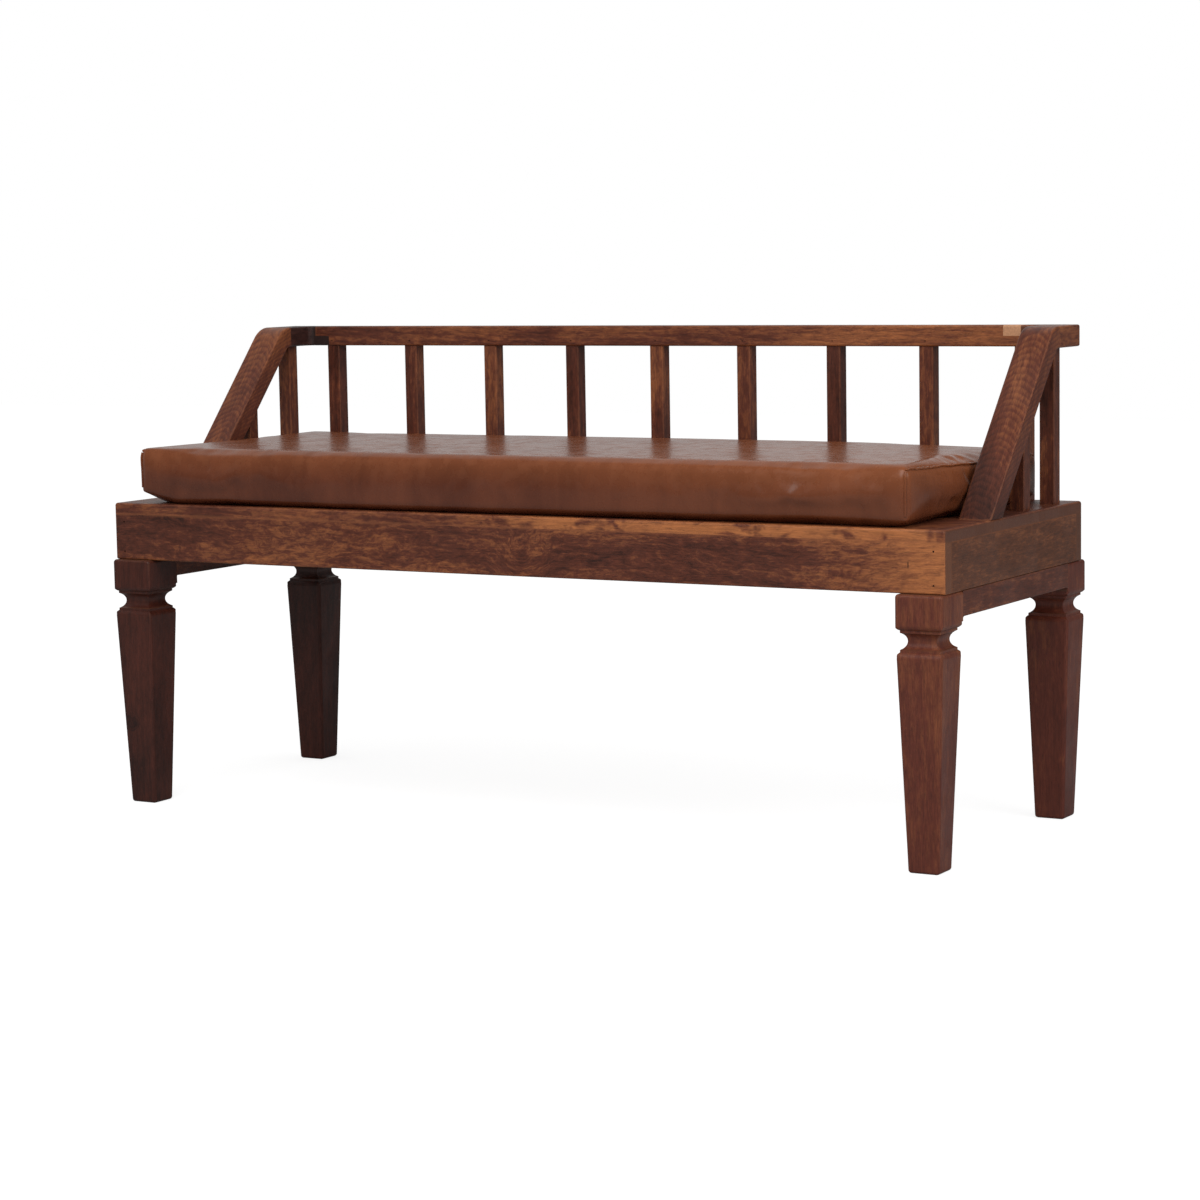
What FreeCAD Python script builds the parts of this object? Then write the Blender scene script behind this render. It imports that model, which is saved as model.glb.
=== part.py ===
import FreeCAD, Part
import math
import os

from FreeCAD import Vector

# Deacons bench: a boxed plank seat on two leg frames, a low back and arms of square
# spindles, and a loose leather cushion.
# Millimetres. X runs along the bench to the right, Y to the back, Z up. The origin is on
# the floor, below the middle of the leg frames. A place named _x, _y or _z is a coordinate.

# Seat box
bench_length = 1153.0
seat_box_front_setback = 8.5
seat_box_back_setback = 13.5
seat_height = 387.0
seat_board_thickness = 14.0
front_board_under_arm = 7.0
apron_height = 58.0
apron_thickness = 18.0
seat_edge_radius = 3.0
corner_edge_radius = 2.0

# Battens below the seat boards
batten_spacing = 330.0
batten_width = 40.0
batten_height = 22.0
batten_tenon_length = 8.0
batten_tenon_shoulder = 4.0

# Leg frames
leg_frame_depth = 433.0
leg_block_width = 58.0
leg_block_height = 34.0
leg_taper_top_width = 56.0
leg_foot_width = 38.0
leg_edge_radius = 4.0
leg_waist_width = 35.0
step_inset = 4.8
shoulder_quirk = 0.4
shoulder_rise = 6.5
step_height = 3.0
cove_height = 19.0
end_rail_height = 29.0
end_rail_thickness = 30.0
end_rail_flare_radius = 5.0
end_rail_edge_radius = 1.5
end_rail_tenon_length = 22.0
end_rail_tenon_thickness = 12.0
end_rail_tenon_shoulder = 4.0

# Corner blocks and the bolts that hold the legs
corner_block_width = 44.0
corner_block_height = 30.0
leg_bolt_diameter = 8.0
leg_bolt_length = 60.0
leg_bolt_head_across_flats = 13.0
leg_bolt_head_height = 5.3
leg_bolt_inset_x = 18.0
leg_bolt_inset_y = 13.0
washer_diameter = 16.0
washer_thickness = 1.6

# Arms
back_top_height = 600.0
arm_width = 41.0
arm_thickness = 26.0
arm_slope_degrees = 48.0
arm_bend_radius = 40.0
arm_edge_radius = 2.5

# Top rail, corner pieces and their lap joints
rail_depth = 24.0
rail_thickness = 26.0
rail_back_inset = 3.0
rail_edge_radius = 2.5
corner_piece_depth = 68.4
corner_inner_radius = 8.0
corner_outer_radius = 5.0
lap_length = 22.0
left_lap_from_end = 61.5
right_lap_from_end = 79.5

# Spindles and side posts
spindle_width = 19.0
spindle_edge_radius = 1.5
back_spindle_count = 9
back_spindle_pitch = 126.0
back_spindle_shift = 5.0
long_post_from_back = 49.0
short_spindle_from_back = 143.5
tenon_diameter = 10.0
seat_tenon_depth = 11.0
top_tenon_depth = 14.0

# Cushion
cushion_front_overhang = 3.0
cushion_back_gap = 3.0
cushion_side_gap = 0.8
cushion_height = 65.0
cushion_crown = 4.0
cushion_top_arch = 1.5
cushion_top_radius = 9.0
cushion_bottom_radius = 12.0
cushion_end_radius = 10.0
cushion_drawn_in = 3.0
cushion_side_swell = 2.0
cushion_cover_thickness = 1.5
cushion_foam_gap = 0.3

# Dowels, screws, brads and nails
arm_dowel_diameter = 8.0
arm_dowel_in_arm = 16.0
arm_dowel_in_corner = 10.0
arm_screw_diameter = 5.0
arm_screw_length = 35.0
arm_screw_spacing = 10.0
arm_screw_from_outside = 29.0
arm_screw_from_foot_back = 10.0
end_rail_screw_diameter = 5.0
end_rail_screw_length = 45.0
end_rail_screw_spacing = 140.0
block_screw_diameter = 4.5
block_screw_length = 55.0
block_screw_offset = 9.0
board_screw_diameter = 4.0
board_screw_length = 30.0
board_screw_from_edge = 28.5
brad_diameter = 1.8
brad_length = 12.0
brad_set_depth = 1.0
brad_from_rail_bottom = 6.7
nail_diameter = 2.4
nail_length = 40.0
nail_set_depth = 1.0
nail_from_end = 14.0
nail_from_top = 10.0
nail_spacing = 38.0

# Clearances
tenon_side_clearance = 0.15
tenon_end_clearance = 0.5
screw_clearance = 0.1
bolt_hole_clearance = 0.25
cut_margin = 5.0

# Places worked out from the sizes above
half_length = bench_length / 2
half_frame_depth = leg_frame_depth / 2
box_front_y = -half_frame_depth + seat_box_front_setback
box_back_y = half_frame_depth - seat_box_back_setback
board_underside = seat_height - seat_board_thickness
apron_underside = board_underside - apron_height
side_apron_inner_x = half_length - apron_thickness
apron_front_inner_y = box_front_y + apron_thickness
apron_back_inner_y = box_back_y - apron_thickness
leg_centre_x = half_length - leg_block_width / 2
leg_centre_y = half_frame_depth - leg_block_width / 2
leg_inner_y = half_frame_depth - leg_block_width
block_underside = apron_underside - leg_block_height
half_moulding_height = cove_height / 2 + step_height + shoulder_rise
waist_z = block_underside - half_moulding_height
taper_height = waist_z - half_moulding_height
end_rail_underside = apron_underside - end_rail_height
end_rail_centre_x = half_length - end_rail_thickness / 2
rail_back_y = box_back_y - rail_back_inset
rail_front_y = rail_back_y - rail_depth
rail_underside = back_top_height - rail_thickness
back_spindle_y = rail_front_y + rail_depth / 2
arm_centre_x = half_length - arm_width / 2
arm_inner_x = half_length - arm_width
arm_slope = math.radians(arm_slope_degrees)
arm_joint_y = rail_back_y - corner_piece_depth
arm_corner_y = arm_joint_y - arm_bend_radius * math.tan(arm_slope / 2)
arm_foot_y = arm_corner_y - (back_top_height - seat_height) / math.tan(arm_slope)
arm_bend_centre_z = back_top_height - arm_bend_radius
front_board_back_y = arm_foot_y + front_board_under_arm
middle_board_back_y = (front_board_back_y + box_back_y) / 2
seat_joints_y = (box_front_y, front_board_back_y, middle_board_back_y, box_back_y)
arm_foot_depth = arm_thickness / math.sin(arm_slope)
arm_dowel_z = back_top_height - arm_thickness / 2
long_post_y = rail_back_y - long_post_from_back
short_spindle_y = rail_back_y - short_spindle_from_back
lap_z = back_top_height - rail_thickness / 2
leg_bolt_x = half_length - leg_block_width + leg_bolt_inset_x
leg_bolt_y = leg_inner_y + leg_bolt_inset_y
corner_block_top = apron_underside + corner_block_height
cushion_front_y = box_front_y - cushion_front_overhang
cushion_back_y = rail_front_y - cushion_back_gap
cushion_half_length = arm_inner_x - cushion_side_gap

UP = Vector(0, 0, 1)
DOWN = Vector(0, 0, -1)
BACKWARDS = Vector(0, 1, 0)
FORWARDS = Vector(0, -1, 0)
SIDES = (("left", -1), ("right", 1))
ENDS = (("front", -1), ("back", 1))


def block(x_limits, y_limits, z_limits):
    """A box between two limits on each axis, given in either order."""
    low = Vector(min(x_limits), min(y_limits), min(z_limits))
    high = Vector(max(x_limits), max(y_limits), max(z_limits))
    size = high - low
    return Part.makeBox(size.x, size.y, size.z, low)


def edges_where(shape, test):
    """The edges of a shape whose bounding box passes a test."""
    return [edge for edge in shape.Edges if test(edge.BoundBox)]


def runs_along_x(box):
    return box.XLength > box.YLength + box.ZLength


def runs_along_y(box):
    return box.YLength > box.XLength + box.ZLength


def runs_along_z(box):
    return box.ZLength > box.XLength + box.YLength


def polyline_face(points):
    """A flat face inside straight lines through the points."""
    return Part.Face(Part.makePolygon(list(points) + [points[0]]))


def wire_through(steps):
    """A closed wire: each step is two points for a line, or three for an arc."""
    edges = []
    for step in steps:
        if len(step) == 3:
            edges.append(Part.Arc(*step).toShape())
        else:
            edges.append(Part.LineSegment(*step).toShape())
    return Part.Wire(edges)


def rounded_square(width, radius, z):
    """A square wire with rounded corners, centred on the Z axis."""
    half = width / 2
    flat = half - radius
    diagonal = flat + radius / math.sqrt(2)
    steps = []
    for turn in range(4):
        angle = math.radians(90 * turn)

        def place(x, y):
            return Vector(
                x * math.cos(angle) - y * math.sin(angle),
                x * math.sin(angle) + y * math.cos(angle),
                z,
            )

        steps.append((place(-flat, -half), place(flat, -half)))
        steps.append((place(flat, -half), place(diagonal, -diagonal), place(half, -flat)))
    return wire_through(steps)


def peg(centre, direction, length, diameter):
    """A plain cylinder from a point along a direction."""
    return Part.makeCylinder(diameter / 2, length, centre, direction)


def wood_screw(head_centre, direction, length, diameter, clearance=0.0):
    """A countersunk wood screw, or with a clearance the hole that it sits in."""
    radius = diameter / 2 + clearance
    head_height = diameter / 2
    tip_height = diameter
    head = Part.makeCone(diameter, radius, head_height, head_centre, direction)
    shank_length = length - head_height - tip_height
    shank = Part.makeCylinder(
        radius, shank_length, head_centre + direction * head_height, direction
    )
    tip_start = head_centre + direction * (length - tip_height)
    tip = Part.makeCone(radius, diameter / 10, tip_height, tip_start, direction)
    return head.fuse([shank, tip]).removeSplitter()


def group(solids):
    """Several separate solids of one kind, kept in one node."""
    return Part.makeCompound(solids)


# Legs


def moulding_profile(axis):
    """Outline of the moulding below the leg block, pushed out across one axis."""
    half_block = leg_block_width / 2
    half_taper = leg_taper_top_width / 2
    step_half = half_block - step_inset
    cove_end = cove_height / 2
    step_end = cove_end + step_height
    reach = half_block + cut_margin

    def at(width, z):
        if axis == "x":
            return Vector(width, -reach, z)
        return Vector(-reach, width, z)

    def half_outline(side, up, half_width):
        """Points from the cove outwards, on one side and up or down."""
        run = half_width - step_half - shoulder_quirk
        radius = (run**2 + shoulder_rise**2) / (2 * run)
        half_turn = math.asin(shoulder_rise / radius) / 2
        shoulder_end = step_end + shoulder_rise
        shoulder_mid = (
            half_width - radius * (1 - math.cos(half_turn)),
            shoulder_end - radius * math.sin(half_turn),
        )
        return {
            "cove_end": at(side * step_half, waist_z + up * cove_end),
            "step_end": at(side * step_half, waist_z + up * step_end),
            "shoulder_start": at(side * (half_width - run), waist_z + up * step_end),
            "shoulder_mid": at(side * shoulder_mid[0], waist_z + up * shoulder_mid[1]),
            "shoulder_end": at(side * half_width, waist_z + up * shoulder_end),
        }

    steps = []
    for side in (1, -1):
        waist = at(side * leg_waist_width / 2, waist_z)
        upper = half_outline(side, 1, half_block)
        lower = half_outline(side, -1, half_taper)
        down_the_side = [
            (upper["shoulder_end"], upper["shoulder_mid"], upper["shoulder_start"]),
            (upper["shoulder_start"], upper["step_end"]),
            (upper["step_end"], upper["cove_end"]),
            (upper["cove_end"], waist, lower["cove_end"]),
            (lower["cove_end"], lower["step_end"]),
            (lower["step_end"], lower["shoulder_start"]),
            (lower["shoulder_start"], lower["shoulder_mid"], lower["shoulder_end"]),
        ]
        if side == 1:
            steps += down_the_side
            right_bottom = lower["shoulder_end"]
            right_top = upper["shoulder_end"]
        else:
            steps.append((right_bottom, lower["shoulder_end"]))
            steps += [tuple(reversed(step)) for step in reversed(down_the_side)]
            steps.append((upper["shoulder_end"], right_top))
    along = Vector(0, 2 * reach, 0) if axis == "x" else Vector(2 * reach, 0, 0)
    return Part.Face(wire_through(steps)).extrude(along)


def plain_leg(end):
    """One leg on the Z axis: foot, taper, coved waist and square block.

    The edges of the block stay sharp on the face that the end rail meets.
    """
    half_foot = leg_foot_width / 2
    half_top = leg_taper_top_width / 2
    half_block = leg_block_width / 2
    corners = ((-1, -1), (1, -1), (1, 1), (-1, 1))
    foot = [Vector(x * half_foot, y * half_foot, 0) for x, y in corners]
    taper_top = [Vector(x * half_top, y * half_top, taper_height) for x, y in corners]
    taper = Part.makeLoft(
        [Part.makePolygon(foot + foot[:1]), Part.makePolygon(taper_top + taper_top[:1])],
        True,
        True,
    )
    taper = taper.makeFillet(
        leg_edge_radius, edges_where(taper, lambda box: box.ZMin < 1)
    )
    upper_sleeve = Part.Face(rounded_square(leg_block_width, leg_edge_radius, waist_z))
    lower_radius = leg_edge_radius + shoulder_quirk
    lower_sleeve = Part.Face(rounded_square(leg_taper_top_width, lower_radius, taper_height))
    upper_sleeve = upper_sleeve.extrude(UP * half_moulding_height)
    sleeve = lower_sleeve.extrude(UP * half_moulding_height).fuse(upper_sleeve)
    moulding = moulding_profile("x").common(moulding_profile("y")).common(sleeve)
    head = block(
        (-half_block, half_block),
        (-half_block, half_block),
        (block_underside, apron_underside),
    )

    def is_free_edge(box):
        at_rail = abs(box.YMin + end * half_block) < 0.1 and abs(box.YMax + end * half_block) < 0.1
        return box.ZMax > apron_underside - 1 and not at_rail

    head = head.makeFillet(leg_edge_radius, edges_where(head, is_free_edge))
    return taper.fuse([moulding, head]).removeSplitter()


def end_rail_tenon(side, clearance=0.0, end_clearance=0.0):
    """The through line of both tenons of an end rail, or their mortises."""
    half_thickness = end_rail_tenon_thickness / 2 + clearance
    reach = leg_inner_y + end_rail_tenon_length + end_clearance
    low = end_rail_underside + end_rail_tenon_shoulder - clearance
    high = apron_underside - end_rail_tenon_shoulder + clearance
    centre = side * end_rail_centre_x
    return block(
        (centre - half_thickness, centre + half_thickness), (-reach, reach), (low, high)
    )


def end_rail(side):
    """The rail between a front and a back leg, flared down where it meets them."""
    flare = end_rail_flare_radius
    inner_x = side * (half_length - end_rail_thickness)
    outer_x = side * half_length
    drop = end_rail_underside - flare
    share = flare * (1 - math.sqrt(0.5))

    def at(y, z):
        return Vector(inner_x, y, z)

    steps = [
        (at(-leg_inner_y, apron_underside), at(-leg_inner_y, drop)),
        (
            at(-leg_inner_y, drop),
            at(-leg_inner_y + share, end_rail_underside - share),
            at(-leg_inner_y + flare, end_rail_underside),
        ),
        (at(-leg_inner_y + flare, end_rail_underside), at(leg_inner_y - flare, end_rail_underside)),
        (
            at(leg_inner_y - flare, end_rail_underside),
            at(leg_inner_y - share, end_rail_underside - share),
            at(leg_inner_y, drop),
        ),
        (at(leg_inner_y, drop), at(leg_inner_y, apron_underside)),
        (at(leg_inner_y, apron_underside), at(-leg_inner_y, apron_underside)),
    ]
    rail = Part.Face(wire_through(steps)).extrude(Vector(outer_x - inner_x, 0, 0))

    def is_lower_outline(box):
        below_top = box.ZMin < apron_underside - cut_margin
        return below_top and box.XLength < 0.1 and box.YLength > 0.1

    rail = rail.makeFillet(end_rail_edge_radius, edges_where(rail, is_lower_outline))
    return rail.fuse(end_rail_tenon(side))


def end_rail_screws(side, clearance=0.0):
    """Screws up through an end rail into the side apron's lower edge."""
    x = side * (half_length - apron_thickness / 2)
    return [
        wood_screw(
            Vector(x, y, end_rail_underside),
            UP,
            end_rail_screw_length,
            end_rail_screw_diameter,
            clearance,
        )
        for y in (-end_rail_screw_spacing / 2, end_rail_screw_spacing / 2)
    ]


def leg_bolt(x, y):
    """A hexagon bolt, head up, from the corner block into the leg."""
    head_bottom = corner_block_top + washer_thickness
    radius = leg_bolt_head_across_flats / math.sqrt(3)
    corners = [
        Vector(x + radius * math.cos(math.radians(60 * turn)),
               y + radius * math.sin(math.radians(60 * turn)),
               head_bottom)
        for turn in range(6)
    ]
    head = polyline_face(corners).extrude(UP * leg_bolt_head_height)
    shank = peg(Vector(x, y, head_bottom), DOWN, leg_bolt_length, leg_bolt_diameter)
    return head.fuse(shank)


def leg_bolt_washer(x, y):
    """A flat washer under a leg bolt's head."""
    base = Vector(x, y, corner_block_top)
    disc = peg(base, UP, washer_thickness, washer_diameter)
    hole = peg(base, UP, washer_thickness, leg_bolt_diameter + 2 * bolt_hole_clearance)
    return disc.cut(hole)


def leg_bolt_hole(x, y):
    """The hole for a leg bolt, through a corner block and into a leg."""
    top = corner_block_top + washer_thickness
    return peg(
        Vector(x, y, top),
        DOWN,
        leg_bolt_length + tenon_end_clearance,
        leg_bolt_diameter + 2 * bolt_hole_clearance,
    )


# Seat box


def seat_board(index):
    """One plank of the seat, counted from the front."""
    front, back = seat_joints_y[index : index + 2]
    board = block((-half_length, half_length), (front, back), (board_underside, seat_height))
    is_front = front == box_front_y
    is_back = back == box_back_y

    def is_outer_top(box):
        on_top = box.ZMin > board_underside + cut_margin
        at_front = is_front and runs_along_x(box) and box.YMax < front + 1
        at_back = is_back and runs_along_x(box) and box.YMin > back - 1
        return on_top and (runs_along_y(box) or at_front or at_back)

    def is_outer_corner(box):
        at_front = is_front and box.YMax < front + 1
        at_back = is_back and box.YMin > back - 1
        return runs_along_z(box) and (at_front or at_back)

    corners = edges_where(board, is_outer_corner)
    if corners:
        board = board.makeFillet(corner_edge_radius, corners)
    return board.makeFillet(seat_edge_radius, edges_where(board, is_outer_top))


def long_apron(end):
    """The front or back apron, full length, with eased corners and lower edges."""
    outer = box_front_y if end < 0 else box_back_y
    inner = apron_front_inner_y if end < 0 else apron_back_inner_y
    board = block((-half_length, half_length), (outer, inner), (apron_underside, board_underside))

    def is_eased(box):
        outside = abs(box.YMin - outer) < 1 and abs(box.YMax - outer) < 1
        low = box.ZMax < apron_underside + 1
        at_front_face = outside and (runs_along_z(box) or low)
        at_end_face = low and runs_along_y(box)
        return at_front_face or at_end_face

    return board.makeFillet(corner_edge_radius, edges_where(board, is_eased))


def side_apron(side):
    """An end apron between the front and back aprons, with its lower edge eased."""
    board = block(
        (side * side_apron_inner_x, side * half_length),
        (apron_front_inner_y, apron_back_inner_y),
        (apron_underside, board_underside),
    )

    def is_eased(box):
        outside = abs(box.XMin - side * half_length) < 1
        return outside and runs_along_y(box) and box.ZMax < apron_underside + 1

    return board.makeFillet(corner_edge_radius, edges_where(board, is_eased))


def batten_tenons(x, clearance=0.0, end_clearance=0.0):
    """Both stub tenons of a batten, or their mortises in the aprons."""
    half_width = batten_width / 2 - batten_tenon_shoulder + clearance
    reach = batten_tenon_length + end_clearance
    low = board_underside - batten_height + batten_tenon_shoulder - clearance
    high = board_underside - batten_tenon_shoulder + clearance
    return block(
        (x - half_width, x + half_width),
        (apron_front_inner_y - reach, apron_back_inner_y + reach),
        (low, high),
    )


def batten(x):
    """A cross batten that carries the seat boards."""
    body = block(
        (x - batten_width / 2, x + batten_width / 2),
        (apron_front_inner_y, apron_back_inner_y),
        (board_underside - batten_height, board_underside),
    )
    return body.fuse(batten_tenons(x)).removeSplitter()


def board_screws(x, clearance=0.0):
    """Screws up through a batten, two in each seat board."""
    screws = []
    for front, back in zip(seat_joints_y, seat_joints_y[1:]):
        for y in (front + board_screw_from_edge, back - board_screw_from_edge):
            head = Vector(x, y, board_underside - batten_height)
            screws.append(
                wood_screw(head, UP, board_screw_length, board_screw_diameter, clearance)
            )
    return screws


def corner_block(side, end):
    """A glue block in a corner of the seat box, above a leg."""
    inner_y = apron_front_inner_y if end < 0 else apron_back_inner_y
    return block(
        (side * side_apron_inner_x, side * (side_apron_inner_x - corner_block_width)),
        (inner_y, inner_y - end * corner_block_width),
        (apron_underside, corner_block_top),
    )


def corner_block_screws(side, end, clearance=0.0):
    """Two screws through a corner block, one into each apron that it joins."""
    inner_y = apron_front_inner_y if end < 0 else apron_back_inner_y
    free_x = side * (side_apron_inner_x - corner_block_width)
    free_y = inner_y - end * corner_block_width
    low_z = apron_underside + corner_block_height / 2 - block_screw_offset
    high_z = apron_underside + corner_block_height / 2 + block_screw_offset
    into_side = Vector(free_x, free_y + end * block_screw_offset, high_z)
    into_long = Vector(free_x + side * block_screw_offset, free_y, low_z)
    return [
        wood_screw(
            into_side, Vector(side, 0, 0), block_screw_length, block_screw_diameter, clearance
        ),
        wood_screw(
            into_long, Vector(0, end, 0), block_screw_length, block_screw_diameter, clearance
        ),
    ]


def apron_nails(side, end, set_depth=nail_set_depth):
    """Two nails through a long apron's end into the side apron."""
    x = side * (half_length - nail_from_end)
    y = box_front_y if end < 0 else box_back_y
    top = board_underside - nail_from_top
    nails = []
    for z in (top, top - nail_spacing):
        start = Vector(x, y - end * set_depth, z)
        nails.append(
            peg(start, Vector(0, -end, 0), nail_set_depth + nail_length - set_depth, nail_diameter)
        )
    return nails


# Spindles and posts


def spindle_bar(x, y, top):
    """A square bar with eased long edges, from the seat up."""
    half = spindle_width / 2
    bar = block((x - half, x + half), (y - half, y + half), (seat_height, top))
    return bar.makeFillet(spindle_edge_radius, edges_where(bar, runs_along_z))


def tenon(x, y, z, direction, depth, clearance=0.0, end_clearance=0.0):
    """A round tenon, or its socket, that starts inside the bar."""
    overlap = 1.0 if clearance == 0.0 else 0.0
    start = Vector(x, y, z) - direction * overlap
    return peg(start, direction, depth + overlap + end_clearance, tenon_diameter + 2 * clearance)


def full_spindle(x, y, top):
    """A spindle with a tenon at each end."""
    lower = tenon(x, y, seat_height, DOWN, seat_tenon_depth)
    upper = tenon(x, y, top, UP, top_tenon_depth)
    return spindle_bar(x, y, top).fuse([lower, upper]).removeSplitter()


def arm_underside(y):
    """Height of the sloped underside of an arm at a place along the bench's depth."""
    return seat_height + (y - arm_foot_y - arm_foot_depth) * math.tan(arm_slope)


def short_spindle(side):
    """A side spindle cut to the slope of the arm that it carries."""
    half = spindle_width / 2
    x = side * arm_centre_x
    front = short_spindle_y - half
    back = short_spindle_y + half
    outline = [
        Vector(x - half, front, seat_height),
        Vector(x - half, back, seat_height),
        Vector(x - half, back, arm_underside(back)),
        Vector(x - half, front, arm_underside(front)),
    ]
    bar = polyline_face(outline).extrude(Vector(spindle_width, 0, 0))
    bar = bar.makeFillet(spindle_edge_radius, edges_where(bar, runs_along_z))
    lower = tenon(x, short_spindle_y, seat_height, DOWN, seat_tenon_depth)
    return bar.fuse([lower, short_spindle_top(side)]).removeSplitter()


def short_spindle_top(side, clearance=0.0, end_clearance=0.0):
    """The upright tenon of a short spindle inside the arm, or its socket."""
    middle = arm_underside(short_spindle_y)
    start = middle - tenon_diameter
    return peg(
        Vector(side * arm_centre_x, short_spindle_y, start),
        UP,
        tenon_diameter + top_tenon_depth + end_clearance,
        tenon_diameter + 2 * clearance,
    )


# Arms, corner pieces and top rail


def arm(side):
    """A sloped arm that bends level at the top and ends at the corner piece."""
    up_slope = Vector(0, math.cos(arm_slope), math.sin(arm_slope))
    across = Vector(0, math.sin(arm_slope), -math.cos(arm_slope))
    half_turn = arm_slope / 2
    x = side * arm_inner_x
    centre = Vector(x, arm_joint_y, arm_bend_centre_z)
    towards_slope = across * -1
    towards_middle = Vector(0, -math.sin(half_turn), math.cos(half_turn))
    inner_radius = arm_bend_radius - arm_thickness
    level = Vector(0, cut_margin, 0)
    foot_front = Vector(x, arm_foot_y, seat_height) - up_slope * arm_foot_depth
    foot_back = foot_front + across * arm_thickness
    outer_start = centre + towards_slope * arm_bend_radius
    outer_end = centre + UP * arm_bend_radius
    inner_start = centre + towards_slope * inner_radius
    inner_end = centre + UP * inner_radius
    steps = [
        (foot_front, outer_start),
        (outer_start, centre + towards_middle * arm_bend_radius, outer_end),
        (outer_end, outer_end + level),
        (outer_end + level, inner_end + level),
        (inner_end + level, inner_end),
        (inner_end, centre + towards_middle * inner_radius, inner_start),
        (inner_start, foot_back),
        (foot_back, foot_front),
    ]
    body = Part.Face(wire_through(steps)).extrude(Vector(side * arm_width, 0, 0))
    end_y = arm_joint_y + cut_margin
    foot_limit = max(foot_front.z, foot_back.z) + 1

    def is_long_edge(box):
        in_side = box.XLength < 0.1
        at_joint = box.YMin > end_y - 1
        at_foot = box.ZMax < foot_limit
        return in_side and not at_joint and not at_foot

    body = body.makeFillet(arm_edge_radius, edges_where(body, is_long_edge))
    keep = block(
        (-half_length - cut_margin, half_length + cut_margin),
        (arm_foot_y - cut_margin, arm_joint_y),
        (seat_height, back_top_height + cut_margin),
    )
    return body.common(keep)


def arm_screws(side, clearance=0.0):
    """Two screws up through the seat boards into an arm's foot."""
    centre_x = half_length - arm_screw_from_outside
    y = arm_foot_y + arm_foot_depth - arm_screw_from_foot_back
    return [
        wood_screw(
            Vector(side * (centre_x + shift), y, board_underside),
            UP,
            arm_screw_length,
            arm_screw_diameter,
            clearance,
        )
        for shift in (-arm_screw_spacing / 2, arm_screw_spacing / 2)
    ]


def arm_dowel(side, clearance=0.0, end_clearance=0.0):
    """The dowel between an arm and its corner piece, or its hole."""
    start = Vector(
        side * arm_centre_x, arm_joint_y - arm_dowel_in_arm - end_clearance, arm_dowel_z
    )
    length = arm_dowel_in_arm + arm_dowel_in_corner + 2 * end_clearance
    return peg(start, BACKWARDS, length, arm_dowel_diameter + 2 * clearance)


def lap_limits(side):
    """Where a lap joint starts and ends, as distances from the bench's middle."""
    from_end = left_lap_from_end if side < 0 else right_lap_from_end
    centre = half_length - from_end
    return centre - lap_length / 2, centre + lap_length / 2


def rail_half(side):
    """Heights of the half of the top rail that runs furthest into a lap joint."""
    if side < 0:
        return lap_z, back_top_height
    return rail_underside, lap_z


def corner_half(side):
    """Heights of the half of a corner piece that runs furthest into a lap joint."""
    if side < 0:
        return rail_underside, lap_z
    return lap_z, back_top_height


def corner_piece(side):
    """The level corner behind an arm, halved onto the end of the top rail."""
    inner_lap, outer_lap = lap_limits(side)
    inner = corner_inner_radius
    outer = corner_outer_radius
    inner_share = inner * (1 - math.sqrt(0.5))
    outer_share = outer * (1 - math.sqrt(0.5))
    start_x = inner_lap - cut_margin
    start_y = arm_joint_y - cut_margin

    def at(x, y):
        return Vector(side * x, y, rail_underside)

    steps = [
        (at(half_length, start_y), at(half_length, rail_back_y - outer)),
        (
            at(half_length, rail_back_y - outer),
            at(half_length - outer_share, rail_back_y - outer_share),
            at(half_length - outer, rail_back_y),
        ),
        (at(half_length - outer, rail_back_y), at(start_x, rail_back_y)),
        (at(start_x, rail_back_y), at(start_x, rail_front_y)),
        (at(start_x, rail_front_y), at(arm_inner_x - inner, rail_front_y)),
        (
            at(arm_inner_x - inner, rail_front_y),
            at(arm_inner_x - inner_share, rail_front_y - inner_share),
            at(arm_inner_x, rail_front_y - inner),
        ),
        (at(arm_inner_x, rail_front_y - inner), at(arm_inner_x, start_y)),
        (at(arm_inner_x, start_y), at(half_length, start_y)),
    ]
    body = Part.Face(wire_through(steps)).extrude(UP * rail_thickness)

    def is_outline(box):
        flat = box.ZLength < 0.1
        at_arm = box.YMax < start_y + 1
        at_lap = box.XLength < 0.1 and abs(abs(box.XMax) - start_x) < 1
        return flat and not at_arm and not at_lap

    body = body.makeFillet(rail_edge_radius, edges_where(body, is_outline))
    keep = block(
        (side * inner_lap, side * (half_length + cut_margin)),
        (arm_joint_y, rail_back_y + cut_margin),
        (rail_underside - cut_margin, back_top_height + cut_margin),
    )
    rail_tongue = block(
        (side * (inner_lap - cut_margin), side * outer_lap),
        (rail_front_y - cut_margin, rail_back_y + cut_margin),
        rail_half(side),
    )
    rail_tongue_far = rail_tongue.fuse(
        rail_tongue.translated(
            UP * (cut_margin if rail_half(side)[1] == back_top_height else -cut_margin)
        )
    )
    return body.common(keep).cut(rail_tongue_far)


def top_rail():
    """The rail over the back spindles, halved at both ends."""
    reach = {side: lap_limits(side) for _, side in SIDES}
    ends = (-reach[-1][1], reach[1][1])
    body = block(ends, (rail_front_y, rail_back_y), (rail_underside, back_top_height))
    body = body.makeFillet(rail_edge_radius, edges_where(body, runs_along_x))
    for side, (inner_lap, outer_lap) in reach.items():
        body = body.cut(
            block(
                (side * inner_lap, side * (outer_lap + cut_margin)),
                (rail_front_y - cut_margin, rail_back_y + cut_margin),
                corner_half(side),
            )
        )
    return body


def spindle_brad(x, clearance=0.0, set_depth=brad_set_depth):
    """A brad through the rail's front into a spindle's tenon, or its hole."""
    start = Vector(x, rail_front_y + set_depth, rail_underside + brad_from_rail_bottom)
    length = brad_set_depth + brad_length - set_depth
    return peg(start, BACKWARDS, length, brad_diameter + 2 * clearance)


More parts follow.
